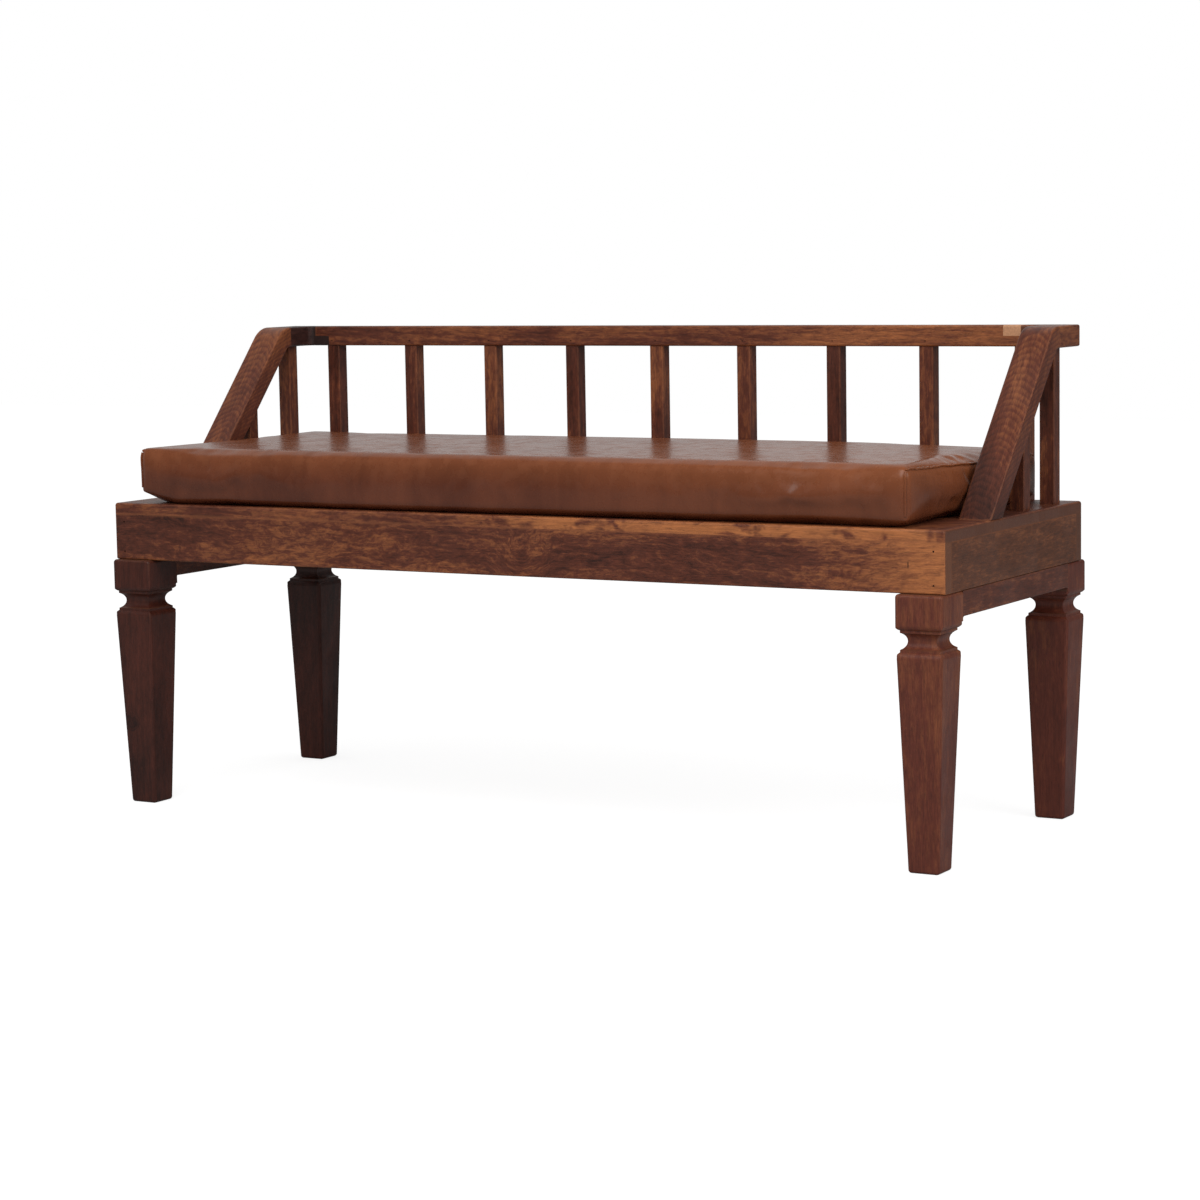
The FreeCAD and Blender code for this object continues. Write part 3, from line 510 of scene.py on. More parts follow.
@dataclass(frozen=True)
class WoodFinish:
    """Stained and lacquered wood, or bare wood, for one piece or kind of piece."""

    dark: Colour = srgb(30, 15, 12)
    middle: Colour = srgb(96, 49, 34)
    light: Colour = srgb(170, 104, 60)
    worn: Colour = srgb(150, 90, 54)
    end_grain: Colour = srgb(100, 62, 44)
    tone: float = 0.0
    swirl: float = 0.3
    ring_spacing: float = 0.009
    ring_tilt: float = 0.05
    heart: Place = (0.0, -0.05, 0.03)
    ring_share: float = 0.08
    streak_share: float = 0.16
    blotch_share: float = 0.36
    mottle_share: float = 0.26
    blotch_scale: float = 11.0
    knot: Place = (0.0, 0.0, -9.0)
    knot_reach: float = 0.03
    wear: float = 0.3
    wear_width: float = 0.003
    roughness: float = 0.44
    specular: float = 0.28
    coat: float = 0.1
    coat_roughness: float = 0.3
    pore_share: float = 0.4
    end_share: float = 0.8
    knot_darkening: float = 0.3

    def local_vector(
        self, wiring: Wiring, grain: Grain, seed: int, turn: float = 0.0
    ) -> tuple[Socket, Socket]:
        """Finds the coordinates of a piece with the grain turned to run along X.

        Args:
            wiring: The material's wiring.
            grain: Which way the fibres run.
            seed: Number that shifts the figure, so that no two boards match.
            turn: Tilt of an upright or deep grain about the X axis, in radians.

        Returns:
            The levelled place on the piece, and the place along its grain.
        """
        levelled = wiring.add("TexCoord").outputs["Object"]
        if turn:
            level = wiring.add("Mapping", vector_type="POINT")
            wiring.feed(level.inputs["Vector"], levelled)
            level.inputs["Rotation"].default_value = (turn, 0.0, 0.0)
            levelled = level.outputs[0]
        turned = wiring.add("Mapping", vector_type="POINT")
        wiring.feed(turned.inputs["Vector"], levelled)
        turned.inputs["Rotation"].default_value = self.grain_turn(grain)
        turned.inputs["Location"].default_value = self.grain_shift(seed)
        return levelled, turned.outputs[0]

    def grain_turn(self, grain: Grain) -> Place:
        """Finds the turn that lays a grain along X.

        Args:
            grain: Which way the fibres run.

        Returns:
            The turn about each axis, in radians.
        """
        return {
            Grain.ALONG: (0.0, 0.0, 0.0),
            Grain.DEEP: (0.0, 0.0, -math.pi / 2),
            Grain.UPRIGHT: (0.0, math.pi / 2, 0.0),
        }[grain]

    def grain_shift(self, seed: int) -> Vector:
        """Finds how far a seed shifts the figure, in metres.

        Args:
            seed: Number that shifts the figure.

        Returns:
            The shift.
        """
        return Vector((1.37 * seed, 0.113 * (seed % 7) - 0.3, 0.097 * (seed % 5) - 0.2))

    def material(
        self, name: str, low: Vector, high: Vector, grain: Grain, seed: int, turn: float = 0.0
    ) -> bpy.types.Material:
        """Makes the finish for one piece.

        Args:
            name: The material's name.
            low: Lowest corner of the squared piece, in its levelled place.
            high: Highest corner.
            grain: Which way the fibres run.
            seed: Number that shifts the figure.
            turn: Tilt about the X axis, in radians.

        Returns:
            The material.
        """
        material, wiring, shader = new_material(name)
        place, along = self.local_vector(wiring, grain, seed, turn)
        knot = KnotGroup().place(
            wiring, Vector=place, Centre=self.knot, Reach=self.knot_reach
        ).outputs
        figure = WoodGrainGroup().place(
            wiring,
            Vector=along,
            Ring_Spacing=self.ring_spacing,
            Swirl=self.swirl,
            Blotch_Scale=self.blotch_scale,
            Bulge=knot["Bulge"],
            Heart=self.heart,
            Tilt=self.ring_tilt,
        ).outputs
        edge = EdgeWearGroup().place(
            wiring,
            Vector=place,
            Centre=tuple((low + high) / 2),
            Half_Size=tuple((high - low) / 2),
            Width=self.wear_width,
        ).outputs["Edge"]
        coat = CoatCloudsGroup().place(wiring, Vector=along).outputs
        shares = (
            ("Streaks", self.streak_share),
            ("Blotches", self.blotch_share),
            ("Mottle", self.mottle_share),
            ("Rings", self.ring_share),
        )
        start = 0.5 + self.tone - sum(share for _, share in shares) / 2
        depth = wiring.maths("MULTIPLY_ADD", knot["Heart"], -self.knot_darkening, start)
        for effect, share in shares:
            depth = wiring.maths("MULTIPLY_ADD", figure[effect], share, depth)
        depth = self.shade(wiring, place, depth)
        ramp = wiring.add("ValToRGB")
        wiring.feed(ramp.inputs[0], depth)
        stops = ramp.color_ramp.elements
        stops[0].position, stops[0].color = 0.0, (*self.dark, 1.0)
        stops[1].position, stops[1].color = 1.0, (*self.light, 1.0)
        middle = stops.new(0.5)
        middle.color = (*self.middle, 1.0)
        fibre = wiring.smooth(figure["Fibre"], 0.3, 0.7, 0.8, 1.2)
        tint = wiring.add("CombineColor")
        for socket in tint.inputs:
            wiring.feed(socket, fibre)
        colour = wiring.mix(1.0, ramp.outputs[0], tint.outputs[0], "MULTIPLY")
        colour = wiring.mix(wiring.maths("MULTIPLY", figure["Pores"], self.pore_share), colour, self.dark)
        colour = wiring.mix(wiring.maths("MULTIPLY", edge, self.wear), colour, self.worn)
        colour = self.ends(wiring, grain, colour, figure["Mottle"])
        wiring.feed(shader.inputs["Base Color"], self.patch(wiring, place, colour))
        rough = wiring.smooth(coat["Clouds"], 0.0, 1.0, self.roughness - 0.06, self.roughness + 0.08)
        wiring.feed(
            shader.inputs["Roughness"], wiring.maths("MULTIPLY_ADD", edge, 0.08, rough)
        )
        shader.inputs["Specular IOR Level"].default_value = self.specular
        shader.inputs["Coat Weight"].default_value = self.coat
        shader.inputs["Coat Roughness"].default_value = self.coat_roughness
        relief = wiring.maths("MULTIPLY", figure["Fibre"], 0.35)
        relief = wiring.maths("MULTIPLY_ADD", figure["Pores"], -0.8, relief)
        relief = wiring.maths("MULTIPLY_ADD", coat["Ripple"], 0.9, relief)
        wiring.bump(shader, relief, 0.35, 0.0006)
        return material

    def ends(
        self,
        wiring: Wiring,
        grain: Grain,
        colour: Socket,
        mottle: Socket,
    ) -> Socket:
        """Darkens the sawn ends, where the fibres drink more stain.

        Args:
            wiring: The material's wiring.
            grain: Which way the fibres run.
            colour: The colour of the long faces.
            mottle: The figure's mottle.

        Returns:
            The colour with its ends.
        """
        facing = wiring.split(wiring.add("TexCoord").outputs["Normal"])
        axis = {Grain.ALONG: 0, Grain.DEEP: 1, Grain.UPRIGHT: 2}[grain]
        at_end = wiring.smooth(wiring.maths("ABSOLUTE", facing[axis]), 0.8, 0.95)
        speckle = wiring.mix(wiring.maths("MULTIPLY", mottle, 0.3), self.end_grain, self.dark)
        return wiring.mix(wiring.maths("MULTIPLY", at_end, self.end_share), colour, speckle)

    def patch(self, wiring: Wiring, place: Socket, colour: Socket) -> Socket:
        """Lets a kind of finish colour a part of a piece.

        Args:
            wiring: The material's wiring.
            place: The levelled place on the piece.
            colour: The colour so far.

        Returns:
            The changed colour.
        """
        return colour

    def shade(self, wiring: Wiring, place: Socket, depth: Socket) -> Socket:
        """Lets a kind of finish change how deep the stain is over a piece.

        Args:
            wiring: The material's wiring.
            place: The levelled place on the piece.
            depth: The stain's depth so far, from dark at 0 to light at 1.

        Returns:
            The changed depth.
        """
        return depth


@dataclass(frozen=True)
class FrontBoardFinish(WoodFinish):
    """The front apron's stain, lighter and more orange towards the right end."""

    pale_from: float = 0.38
    pale_to: float = 0.57
    pale_gain: float = 0.44
    dip: float = -0.16
    top_z: float = 0.373
    strip_height: float = 0.016
    strip_gain: float = 0.2
    raggedness: float = 0.16
    split: Place = (0.532, 0.0, 0.347)

    def shade(self, wiring: Wiring, place: Socket, depth: Socket) -> Socket:
        """Adds the pale right end and upper strip. See WoodFinish.shade."""
        x, _, z = wiring.split(place)
        ragged = wiring.maths("MULTIPLY_ADD", wiring.noise(place, 26.0, 4.0, 0.65), self.raggedness, x)
        shift = self.raggedness / 2
        end = wiring.smooth(ragged, self.pale_from + shift, self.pale_to + shift, 0.0, self.pale_gain)
        end = wiring.maths("ADD", end, wiring.smooth(ragged, 0.1, 0.26, 0.0, self.dip))
        below = wiring.maths("SUBTRACT", self.top_z, z)
        strip = wiring.smooth(below, 0.0, self.strip_height, self.strip_gain, 0.0)
        from_middle = wiring.smooth(ragged, 0.06, 0.3)
        strip = wiring.maths("MULTIPLY", strip, from_middle)
        return wiring.maths("ADD", wiring.maths("ADD", depth, end), strip)

    def patch(self, wiring: Wiring, place: Socket, colour: Socket) -> Socket:
        """Adds a short dark split near the right end. See WoodFinish.patch."""
        away = wiring.vector("MULTIPLY", wiring.vector("SUBTRACT", place, self.split), (1.0, 0.0, 0.2))
        mask = wiring.smooth(wiring.vector("LENGTH", away), 0.0004, 0.0011, 0.8, 0.0)
        return wiring.mix(mask, colour, self.dark)


@dataclass(frozen=True)
class ArmFinish(WoodFinish):
    """An arm's finish, its colour graded lighter towards the top, with growth rings that arch across it.
    """

    swirl: float = 0.25
    ring_spacing: float = 0.0042
    ring_tilt: float = 0.42
    ring_share: float = 0.1
    streak_share: float = 0.08
    blotch_share: float = 0.3
    mottle_share: float = 0.18
    top_gain: float = 0.2
    top_from: float = 0.4
    top_to: float = 0.57
    heart_depth: float = 0.02

    def along_grain(self, centre: Vector, seed: int) -> Place:
        """Finds where the rings' heart lies behind an arm's middle, along its grain.

        Args:
            centre: Middle of the levelled arm.
            seed: Number that shifts the figure.

        Returns:
            The heart's place.
        """
        rotation, shift = self.grain_turn(Grain.DEEP), self.grain_shift(seed)
        place = Matrix.Rotation(rotation[2], 3, "Z") @ centre + shift
        return place.x, place.y, place.z - self.heart_depth

    def shade(self, wiring: Wiring, place: Socket, depth: Socket) -> Socket:
        """Lightens the upper part. See WoodFinish.shade."""
        _, _, z = wiring.split(wiring.add("TexCoord").outputs["Object"])
        half = self.top_gain / 2
        return wiring.maths("ADD", depth, wiring.smooth(z, self.top_from, self.top_to, -half, half))


@dataclass(frozen=True)
class TopRailFinish(WoodFinish):
    """The top rail's finish, its colour graded lighter towards the right."""

    pale_from: float = 0.0
    pale_to: float = 0.3
    pale_gain: float = 0.2

    def shade(self, wiring: Wiring, place: Socket, depth: Socket) -> Socket:
        """Adds the lighter right half. See WoodFinish.shade."""
        x, _, _ = wiring.split(place)
        gain = wiring.smooth(x, self.pale_from, self.pale_to, 0.0, self.pale_gain)
        return wiring.maths("ADD", depth, gain)


@dataclass(frozen=True)
class RightCornerFinish(WoodFinish):
    """The right corner piece's stain, with the pale end of its half of the lap joint."""

    pale: Colour = srgb(214, 160, 120)
    pale_until: float = 0.5085

    def patch(self, wiring: Wiring, place: Socket, colour: Socket) -> Socket:
        """Adds the pale end. See WoodFinish.patch."""
        x, _, _ = wiring.split(place)
        tongue = wiring.smooth(x, self.pale_until, self.pale_until + 0.001, 0.85, 0.0)
        speckled = wiring.smooth(wiring.noise(place, 420.0, 3.0, 0.7), 0.3, 0.7, 0.7, 1.0)
        return wiring.mix(wiring.maths("MULTIPLY", tongue, speckled), colour, self.pale)


@dataclass(frozen=True)
class FrontEdgeFinish(WoodFinish):
    """The front seat board's stain, with orange patches along the right half of its edge."""

    patch_gain: float = 0.42
    patch_from: float = -0.12
    patch_to: float = 0.1
    front_y: float = -0.207
    edge_depth: float = 0.004

    def shade(self, wiring: Wiring, place: Socket, depth: Socket) -> Socket:
        """Adds the orange patches. See WoodFinish.shade."""
        x, y, _ = wiring.split(place)
        patches = wiring.smooth(wiring.noise(place, 15.0, 3.0, 0.6, 0.8), 0.42, 0.52)
        edge = wiring.smooth(y, self.front_y, self.front_y + self.edge_depth, 1.0, 0.15)
        right = wiring.smooth(x, self.patch_from, self.patch_to)
        right = wiring.maths("MULTIPLY", right, edge)
        gain = wiring.maths("MULTIPLY", wiring.maths("MULTIPLY", patches, right), self.patch_gain)
        return wiring.maths("ADD", depth, gain)


@dataclass(frozen=True)
class LeatherFinish:
    """Waxed brown leather with a soft sheen, lighter over its top and upper edges, partly rubbed wear and
    partly painted light from above, and paler to the right with painted light.
    """

    deep: Colour = srgb(82, 40, 26)
    plain: Colour = srgb(104, 55, 36)
    # Lighter leather colour for rubbed wear, also used as painted light on the top and towards the right
    # end.
    rubbed_and_lit: Colour = srgb(160, 92, 50)
    roughness: float = 0.28
    rub_and_light_from: float = 0.418
    rub_and_light_to: float = 0.452
    specular: float = 0.36

    def material(self, name: str) -> bpy.types.Material:
        """Makes the leather.

        Args:
            name: The material's name.

        Returns:
            The material.
        """
        material, wiring, shader = new_material(name)
        place = wiring.add("TexCoord").outputs["Object"]
        grain = LeatherGrainGroup().place(wiring, Vector=place).outputs
        x, _, z = wiring.split(place)
        colour = wiring.mix(grain["Mottle"], self.deep, self.plain)
        # Lighter top and upper front band: rubbed wear plus painted light from above.
        upper = wiring.smooth(z, self.rub_and_light_from, self.rub_and_light_to, 0.06, 0.42)
        # Paler towards the right end: painted light from the right.
        right = wiring.smooth(x, -0.1, 0.5, 0.0, 0.14)
        share = wiring.maths("MULTIPLY", wiring.smooth(grain["Rub"], 0.0, 1.0, 0.7, 1.0), upper)
        share = wiring.maths("ADD", share, right)
        colour = wiring.mix(share, colour, self.rubbed_and_lit)
        wiring.feed(shader.inputs["Base Color"], colour)
        wiring.feed(
            shader.inputs["Roughness"],
            wiring.smooth(grain["Rub"], 0.0, 1.0, self.roughness - 0.03, self.roughness + 0.07),
        )
        shader.inputs["Specular IOR Level"].default_value = self.specular
        relief = wiring.maths("MULTIPLY", grain["Pebbles"], 0.07)
        relief = wiring.maths("MULTIPLY_ADD", grain["Creases"], 0.7, relief)
        wiring.bump(shader, relief, 0.5, 0.0009)
        return material


@dataclass(frozen=True)
class FoamFinish:
    """Cream upholstery foam with open cells."""

    pale: Colour = srgb(232, 220, 180)
    shaded: Colour = srgb(205, 188, 140)

    def material(self, name: str) -> bpy.types.Material:
        """Makes the foam.

        Args:
            name: The material's name.

        Returns:
            The material.
        """
        material, wiring, shader = new_material(name)
        place = wiring.add("TexCoord").outputs["Object"]
        cells = wiring.noise(place, 900.0, 3.0)
        wiring.feed(
            shader.inputs["Base Color"],
            wiring.mix(wiring.smooth(cells, 0.35, 0.65), self.shaded, self.pale),
        )
        shader.inputs["Roughness"].default_value = 0.95
        wiring.bump(shader, cells, 0.6, 0.0008)
        return material


@dataclass(frozen=True)
class SteelFinish:
    """Zinc-plated steel of bolts, washers and screws, or dark nail heads."""

    base: Colour = srgb(150, 150, 155)
    stained: Colour = srgb(105, 98, 90)
    roughness: float = 0.38

    def material(self, name: str) -> bpy.types.Material:
        """Makes the steel.

        Args:
            name: The material's name.

        Returns:
            The material.
        """
        material, wiring, shader = new_material(name)
        place = wiring.add("TexCoord").outputs["Object"]
        clouds = CoatCloudsGroup().place(wiring, Vector=place, Scale=90.0).outputs
        wiring.feed(
            shader.inputs["Base Color"], wiring.mix(clouds["Clouds"], self.base, self.stained)
        )
        wiring.feed(
            shader.inputs["Roughness"],
            wiring.smooth(clouds["Ripple"], 0.3, 0.7, self.roughness - 0.08, self.roughness + 0.12),
        )
        shader.inputs["Metallic"].default_value = 0.9
        wiring.bump(shader, clouds["Ripple"], 0.2, 0.0003)
        return material


def eased(share: float) -> float:
    """Eases a share in and out between 0 and 1.

    Args:
        share: The share, which may lie outside 0 to 1.

    Returns:
        The eased share.
    """
    held = max(0.0, min(1.0, share))
    return held * held * (3 - 2 * held)


def paint(node: str, material: bpy.types.Material) -> None:
    """Gives a carried node its material.

    Args:
        node: The node's name.
        material: Its material.
    """
    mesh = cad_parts[node].data
    mesh.materials.clear()
    mesh.materials.append(material)
    log.info("painted %s", node)


def paint_wood(node: str, finish: WoodFinish, grain: Grain, seed: int) -> None:
    """Paints one squared piece of wood.

    Args:
        node: The node's name.
        finish: Its finish.
        grain: Which way its fibres run.
        seed: Number that shifts the figure.
    """
    low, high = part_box(node)
    paint(node, finish.material(f"wood_{node}", low, high, grain, seed))


def add_object(name: str, data: bpy.types.ID) -> bpy.types.Object:
    """Makes an object and puts it in the scene.

    Args:
        name: Its name.
        data: Its mesh, curve, camera or light.

    Returns:
        The object.
    """
    made = bpy.data.objects.new(name, data)
    bpy.context.scene.collection.objects.link(made)
    return made


def shade_smooth(mesh: bpy.types.Mesh) -> None:
    """Shades every face of a mesh smooth."""
    for polygon in mesh.polygons:
        polygon.use_smooth = True


BARE_WOOD = WoodFinish(
    dark=srgb(120, 84, 50),
    middle=srgb(168, 126, 80),
    light=srgb(196, 156, 106),
    worn=srgb(200, 162, 112),
    wear=0.15,
    roughness=0.6,
    coat=0.0,
)


@dataclass
class SeatBox:
    """Seat boards, aprons, battens and corner blocks."""

    boards: WoodFinish = WoodFinish(tone=-0.06)
    front_board: WoodFinish = FrontEdgeFinish(tone=0.05, swirl=0.5)
    front: WoodFinish = FrontBoardFinish(
        swirl=0.8,
        mottle_share=0.36,
        wear=0.35,
        knot=(0.035, -0.208, 0.342),
        knot_reach=0.05,
    )
    sides: WoodFinish = WoodFinish(
        tone=-0.01, middle=srgb(98, 55, 32), blotch_scale=8.0, blotch_share=0.12, streak_share=0.08
    )
    seed: int = 3

    def dress(self) -> None:
        """Paints every piece of the seat box."""
        self.paint_piece("seat_board_1", self.front_board, Grain.ALONG)
        for number in (2, 3):
            self.paint_piece(f"seat_board_{number}", self.boards, Grain.ALONG)
        self.paint_piece("front_apron", self.front, Grain.ALONG)
        self.paint_piece("back_apron", self.sides, Grain.ALONG)
        for side in ("left", "right"):
            self.paint_piece(f"{side}_apron", self.sides, Grain.DEEP)
        for name in ("left", "centre", "right"):
            self.paint_piece(f"{name}_batten", BARE_WOOD, Grain.DEEP)
        for end in ("front", "back"):
            for side in ("left", "right"):
                self.paint_piece(f"{end}_{side}_corner_block", BARE_WOOD, Grain.UPRIGHT)

    def paint_piece(self, node: str, finish: WoodFinish, grain: Grain) -> None:
        """Paints one board.

        Args:
            node: The node's name.
            finish: Its finish.
            grain: Which way its fibres run.
        """
        self.seed += 1
        paint_wood(node, finish, grain, self.seed)


@dataclass
class LegFrames:
    """Four legs and two end rails."""

    # Stain depth per leg: the back left leg's deep tone and the back right's slight darkening are painted
    # shade under the seat; the front left leg is simply darker.
    tones: dict[str, float] = field(
        default_factory=lambda: {
            "front_left_leg": -0.32,
            "front_right_leg": 0.02,
            "back_left_leg": -0.32,
            "back_right_leg": -0.04,
        }
    )
    wood: WoodFinish = WoodFinish(
        middle=srgb(98, 47, 34),
        swirl=0.2,
        ring_share=0.03,
        streak_share=0.07,
        blotch_share=0.26,
        mottle_share=0.1,
        wear=0.15,
    )
    rails: WoodFinish = WoodFinish(tone=-0.06, wear=0.15)
    left_knot: Place = (-0.556, -0.207, 0.105)
    seed: int = 23

    def dress(self) -> None:
        """Paints the legs and rails."""
        for name, tone in self.tones.items():
            self.seed += 1
            finish = replace(self.wood, tone=tone)
            if name == "front_left_leg":
                finish = replace(finish, knot=self.left_knot, knot_reach=0.014)
            paint_wood(name, finish, Grain.UPRIGHT, self.seed)
        for side in ("left", "right"):
            self.seed += 1
            paint_wood(f"{side}_end_rail", self.rails, Grain.DEEP, self.seed)


@dataclass
class BackAndArms:
    """Top rail, spindles, posts, corner pieces and arms."""

    slope: float = math.radians(48)
    spindle_tones: tuple[float, ...] = (-0.1, -0.04, 0.02, -0.04, 0.06, 0.1, -0.06, 0.04, -0.02)
    rail_seed: int = 7
    seed: int = 41

    def dress(self) -> None:
        """Paints every piece of the back and the arms."""
        for number, tone in enumerate(self.spindle_tones, start=1):
            self.paint_upright(f"back_spindle_{number}", tone)
        for side in ("left", "right"):
            self.paint_upright(f"{side}_long_post", -0.04)
            self.paint_upright(f"{side}_short_spindle", 0.0)
            self.paint_corner(side)
            self.paint_arm(side)
        finish = TopRailFinish(tone=0.03, swirl=0.4, blotch_scale=14.0)
        paint_wood("top_rail", finish, Grain.ALONG, self.rail_seed)

    def paint_upright(self, node: str, tone: float) -> None:
        """Paints one spindle or post.

        Args:
            node: The node's name.
            tone: How light its stain is.
        """
        self.seed += 1
        finish = WoodFinish(tone=tone, blotch_scale=16.0, wear=0.25, wear_width=0.0025)
        paint_wood(node, finish, Grain.UPRIGHT, self.seed)

    def paint_corner(self, side: str) -> None:
        """Paints one corner piece, whose fibres run from front to back.

        Args:
            side: Left or right.
        """
        self.seed += 1
        if side == "left":
            # Darker and greyer than the right piece: partly its end grain, partly painted shade over this
            # shadowed corner.
            finish = WoodFinish(tone=-0.2, middle=srgb(74, 44, 38), end_grain=srgb(50, 36, 34))
        else:
            finish = RightCornerFinish(tone=0.04)
        paint_wood(f"{side}_corner_piece", finish, Grain.DEEP, self.seed)

    def paint_arm(self, side: str) -> None:
        """Paints one arm, with the grain along its slope.

        Args:
            side: Left or right.
        """
        self.seed += 1
        node = f"{side}_arm"
        turn = -self.slope
        rotation = Matrix.Rotation(turn, 3, "X")
        corners = [rotation @ vertex.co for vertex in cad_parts[node].data.vertices]
        low = Vector(min(corner[axis] for corner in corners) for axis in range(3))
        high = Vector(max(corner[axis] for corner in corners) for axis in range(3))
        finish = ArmFinish(tone=0.03 if side == "left" else -0.07)
        finish = replace(finish, heart=finish.along_grain((low + high) / 2, self.seed))
        paint(node, finish.material(f"wood_{node}", low, high, Grain.DEEP, self.seed, turn))


@dataclass
class Hardware:
    """Screws, bolts, washers, nails, brads and dowels."""

    plated: SteelFinish = SteelFinish()
    dark: SteelFinish = SteelFinish(base=srgb(52, 44, 40), stained=srgb(34, 28, 26), roughness=0.6)
    dowel_seed: int = 5

    def dress(self) -> None:
        """Paints every small piece."""
        bright = self.plated.material("steel_plated")
        dull = self.dark.material("steel_dark")
        for node in (
            "leg_bolts",
            "leg_bolt_washers",
            "corner_block_screws",
            "end_rail_screws",
            "seat_board_screws",
            "arm_screws",
        ):
            paint(node, bright)
        for node in ("apron_nails", "rail_brads"):
            paint(node, dull)
        paint_wood("arm_dowels", BARE_WOOD, Grain.DEEP, self.dowel_seed)


@dataclass
class Cushion:
    """The loose leather cushion and its foam, in metres."""

    half_length: float = 0.5335
    front_y: float = -0.2095
    back_y: float = 0.1715
    base_z: float = 0.387
    height: float = 0.0645
    crown: float = 0.004
    top_radius: float = 0.008
    bottom_radius: float = 0.007
    voxel: float = 0.005
    pressure: float = 4.0
    cap: float = 0.006
    corner_lift: float = 0.014
    front_lift: float = 0.003
    right_lift: float = 0.006
    left_rise: float = 0.006
    right_rise: float = 0.003
    right_sag: float = 0.004
    left_swell: float = 0.0042
    right_swell: float = 0.0005
    arm_front: float = -0.08
    swell_run: float = 0.04
    rise_start: float = 0.42
    rise_run: float = 0.105
    lift_run: float = 0.06
    corner_run: float = 0.07
    unevenness: float = 0.001
    ripple: float = 0.0012
    seat_gap: float = 0.0002
    pinch_depth: float = 0.0012
    pinch_width: float = 0.0035
    clear_x: float = 0.5347
    clear_front: float = -0.2135
    clear_back: float = 0.1765
    clear_top: float = 0.4575
    foam_inset: float = 0.003
    seam_radius: float = 0.0014
    seam_stand: float = 0.0004
    seam_wobble: float = 0.0004
    seam_end_left: float = 0.02
    seam_end_right: float = 0.012
    guide_stand: float = 0.004
    leather: LeatherFinish = LeatherFinish()
    foam: FoamFinish = FoamFinish()

    def build(self) -> None:
        """Builds, swells, sews and dresses the cushion."""
        cover = self.blank("cushion_leather")
        self.remesh(cover)
        self.swell(cover)
        self.settle(cover)
        foam = self.inner_block(cover)
        self.soften(cover)
        self.pinch(cover)
        seams = self.sew(cover)
        leather = self.leather.material("leather_cushion")
        cover.data.materials.append(leather)
        seams.data.materials.append(leather)
        foam.data.materials.append(self.foam.material("foam_cushion"))
        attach(seams, "cushion")
        for piece, slot, node in (
            (cover, "leather", "cushion_cover"),
            (foam, "foam", "cushion_foam"),
        ):
            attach(piece, "cushion")
            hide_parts(node)
            log.info("built %s with %d faces", piece.name, len(piece.data.polygons))

    def blank(self, name: str) -> bpy.types.Object:
        """Makes the cut form: a long block with rounded edges.

        Args:
            name: The piece's name.

        Returns:
            The new object.
        """
        mesh = bpy.data.meshes.new(name)
        shape = bmesh.new()
        bmesh.ops.create_cube(shape, size=1.0)
        size = Vector((2 * self.half_length, self.back_y - self.front_y, self.height))
        centre = Vector((0.0, (self.front_y + self.back_y) / 2, self.base_z + self.height / 2))
        for vertex in shape.verts:
            vertex.co = Vector(a * b for a, b in zip(vertex.co, size)) + centre
        upper = [e for e in shape.edges if min(v.co.z for v in e.verts) > centre.z]
        bmesh.ops.bevel(
            shape, geom=upper, offset=self.top_radius, segments=6, profile=0.5, affect="EDGES"
        )
        lower = [
            e
            for e in shape.edges
            if max(v.co.z for v in e.verts) < self.base_z + 0.0001
            and (e.verts[0].co - e.verts[1].co).length > 0.1
        ]
        bmesh.ops.bevel(
            shape, geom=lower, offset=self.bottom_radius, segments=6, profile=0.5, affect="EDGES"
        )
        shape.to_mesh(mesh)
        shape.free()
        return add_object(name, mesh)

    def apply(self, piece: bpy.types.Object, modifier: bpy.types.Modifier) -> None:
        """Applies a modifier for good.

        Args:
            piece: The object.
            modifier: The modifier on it.
        """
        with bpy.context.temp_override(object=piece, active_object=piece, selected_objects=[piece]):
            bpy.ops.object.modifier_apply(modifier=modifier.name)

    def remesh(self, piece: bpy.types.Object) -> None:
        """Turns the form into an even net for the cloth.

        Args:
            piece: The object.
        """
        remesh = piece.modifiers.new("net", "REMESH")
        remesh.mode = "VOXEL"
        remesh.voxel_size = self.voxel
        remesh.use_smooth_shade = True
        self.apply(piece, remesh)

    def swell(self, piece: bpy.types.Object) -> None:
        """Blows the cover up as cloth over the foam and caps how far it moves.

        Args:
            piece: The object.
        """
        scene = bpy.context.scene
        rest = [vertex.co.copy() for vertex in piece.data.vertices]
        cloth = piece.modifiers.new("cloth", "CLOTH")
        settings = cloth.settings
        settings.quality = 5
        settings.mass = 0.4
        settings.tension_stiffness = 60
        settings.compression_stiffness = 60
        settings.shear_stiffness = 30
        settings.bending_stiffness = 6
        settings.use_pressure = True
        settings.uniform_pressure_force = self.pressure
        settings.effector_weights.gravity = 0
        cloth.collision_settings.use_collision = False
        for number in range(1, 21):
            scene.frame_set(number)
        graph = bpy.context.evaluated_depsgraph_get()
        swollen = [v.co.copy() for v in piece.evaluated_get(graph).data.vertices]
        piece.modifiers.remove(cloth)
        scene.frame_set(1)
        for vertex, start, end in zip(piece.data.vertices, rest, swollen):
            move = end - start
            if move.length > 1e-7:
                vertex.co = start + move.normalized() * self.cap * math.tanh(move.length / self.cap)

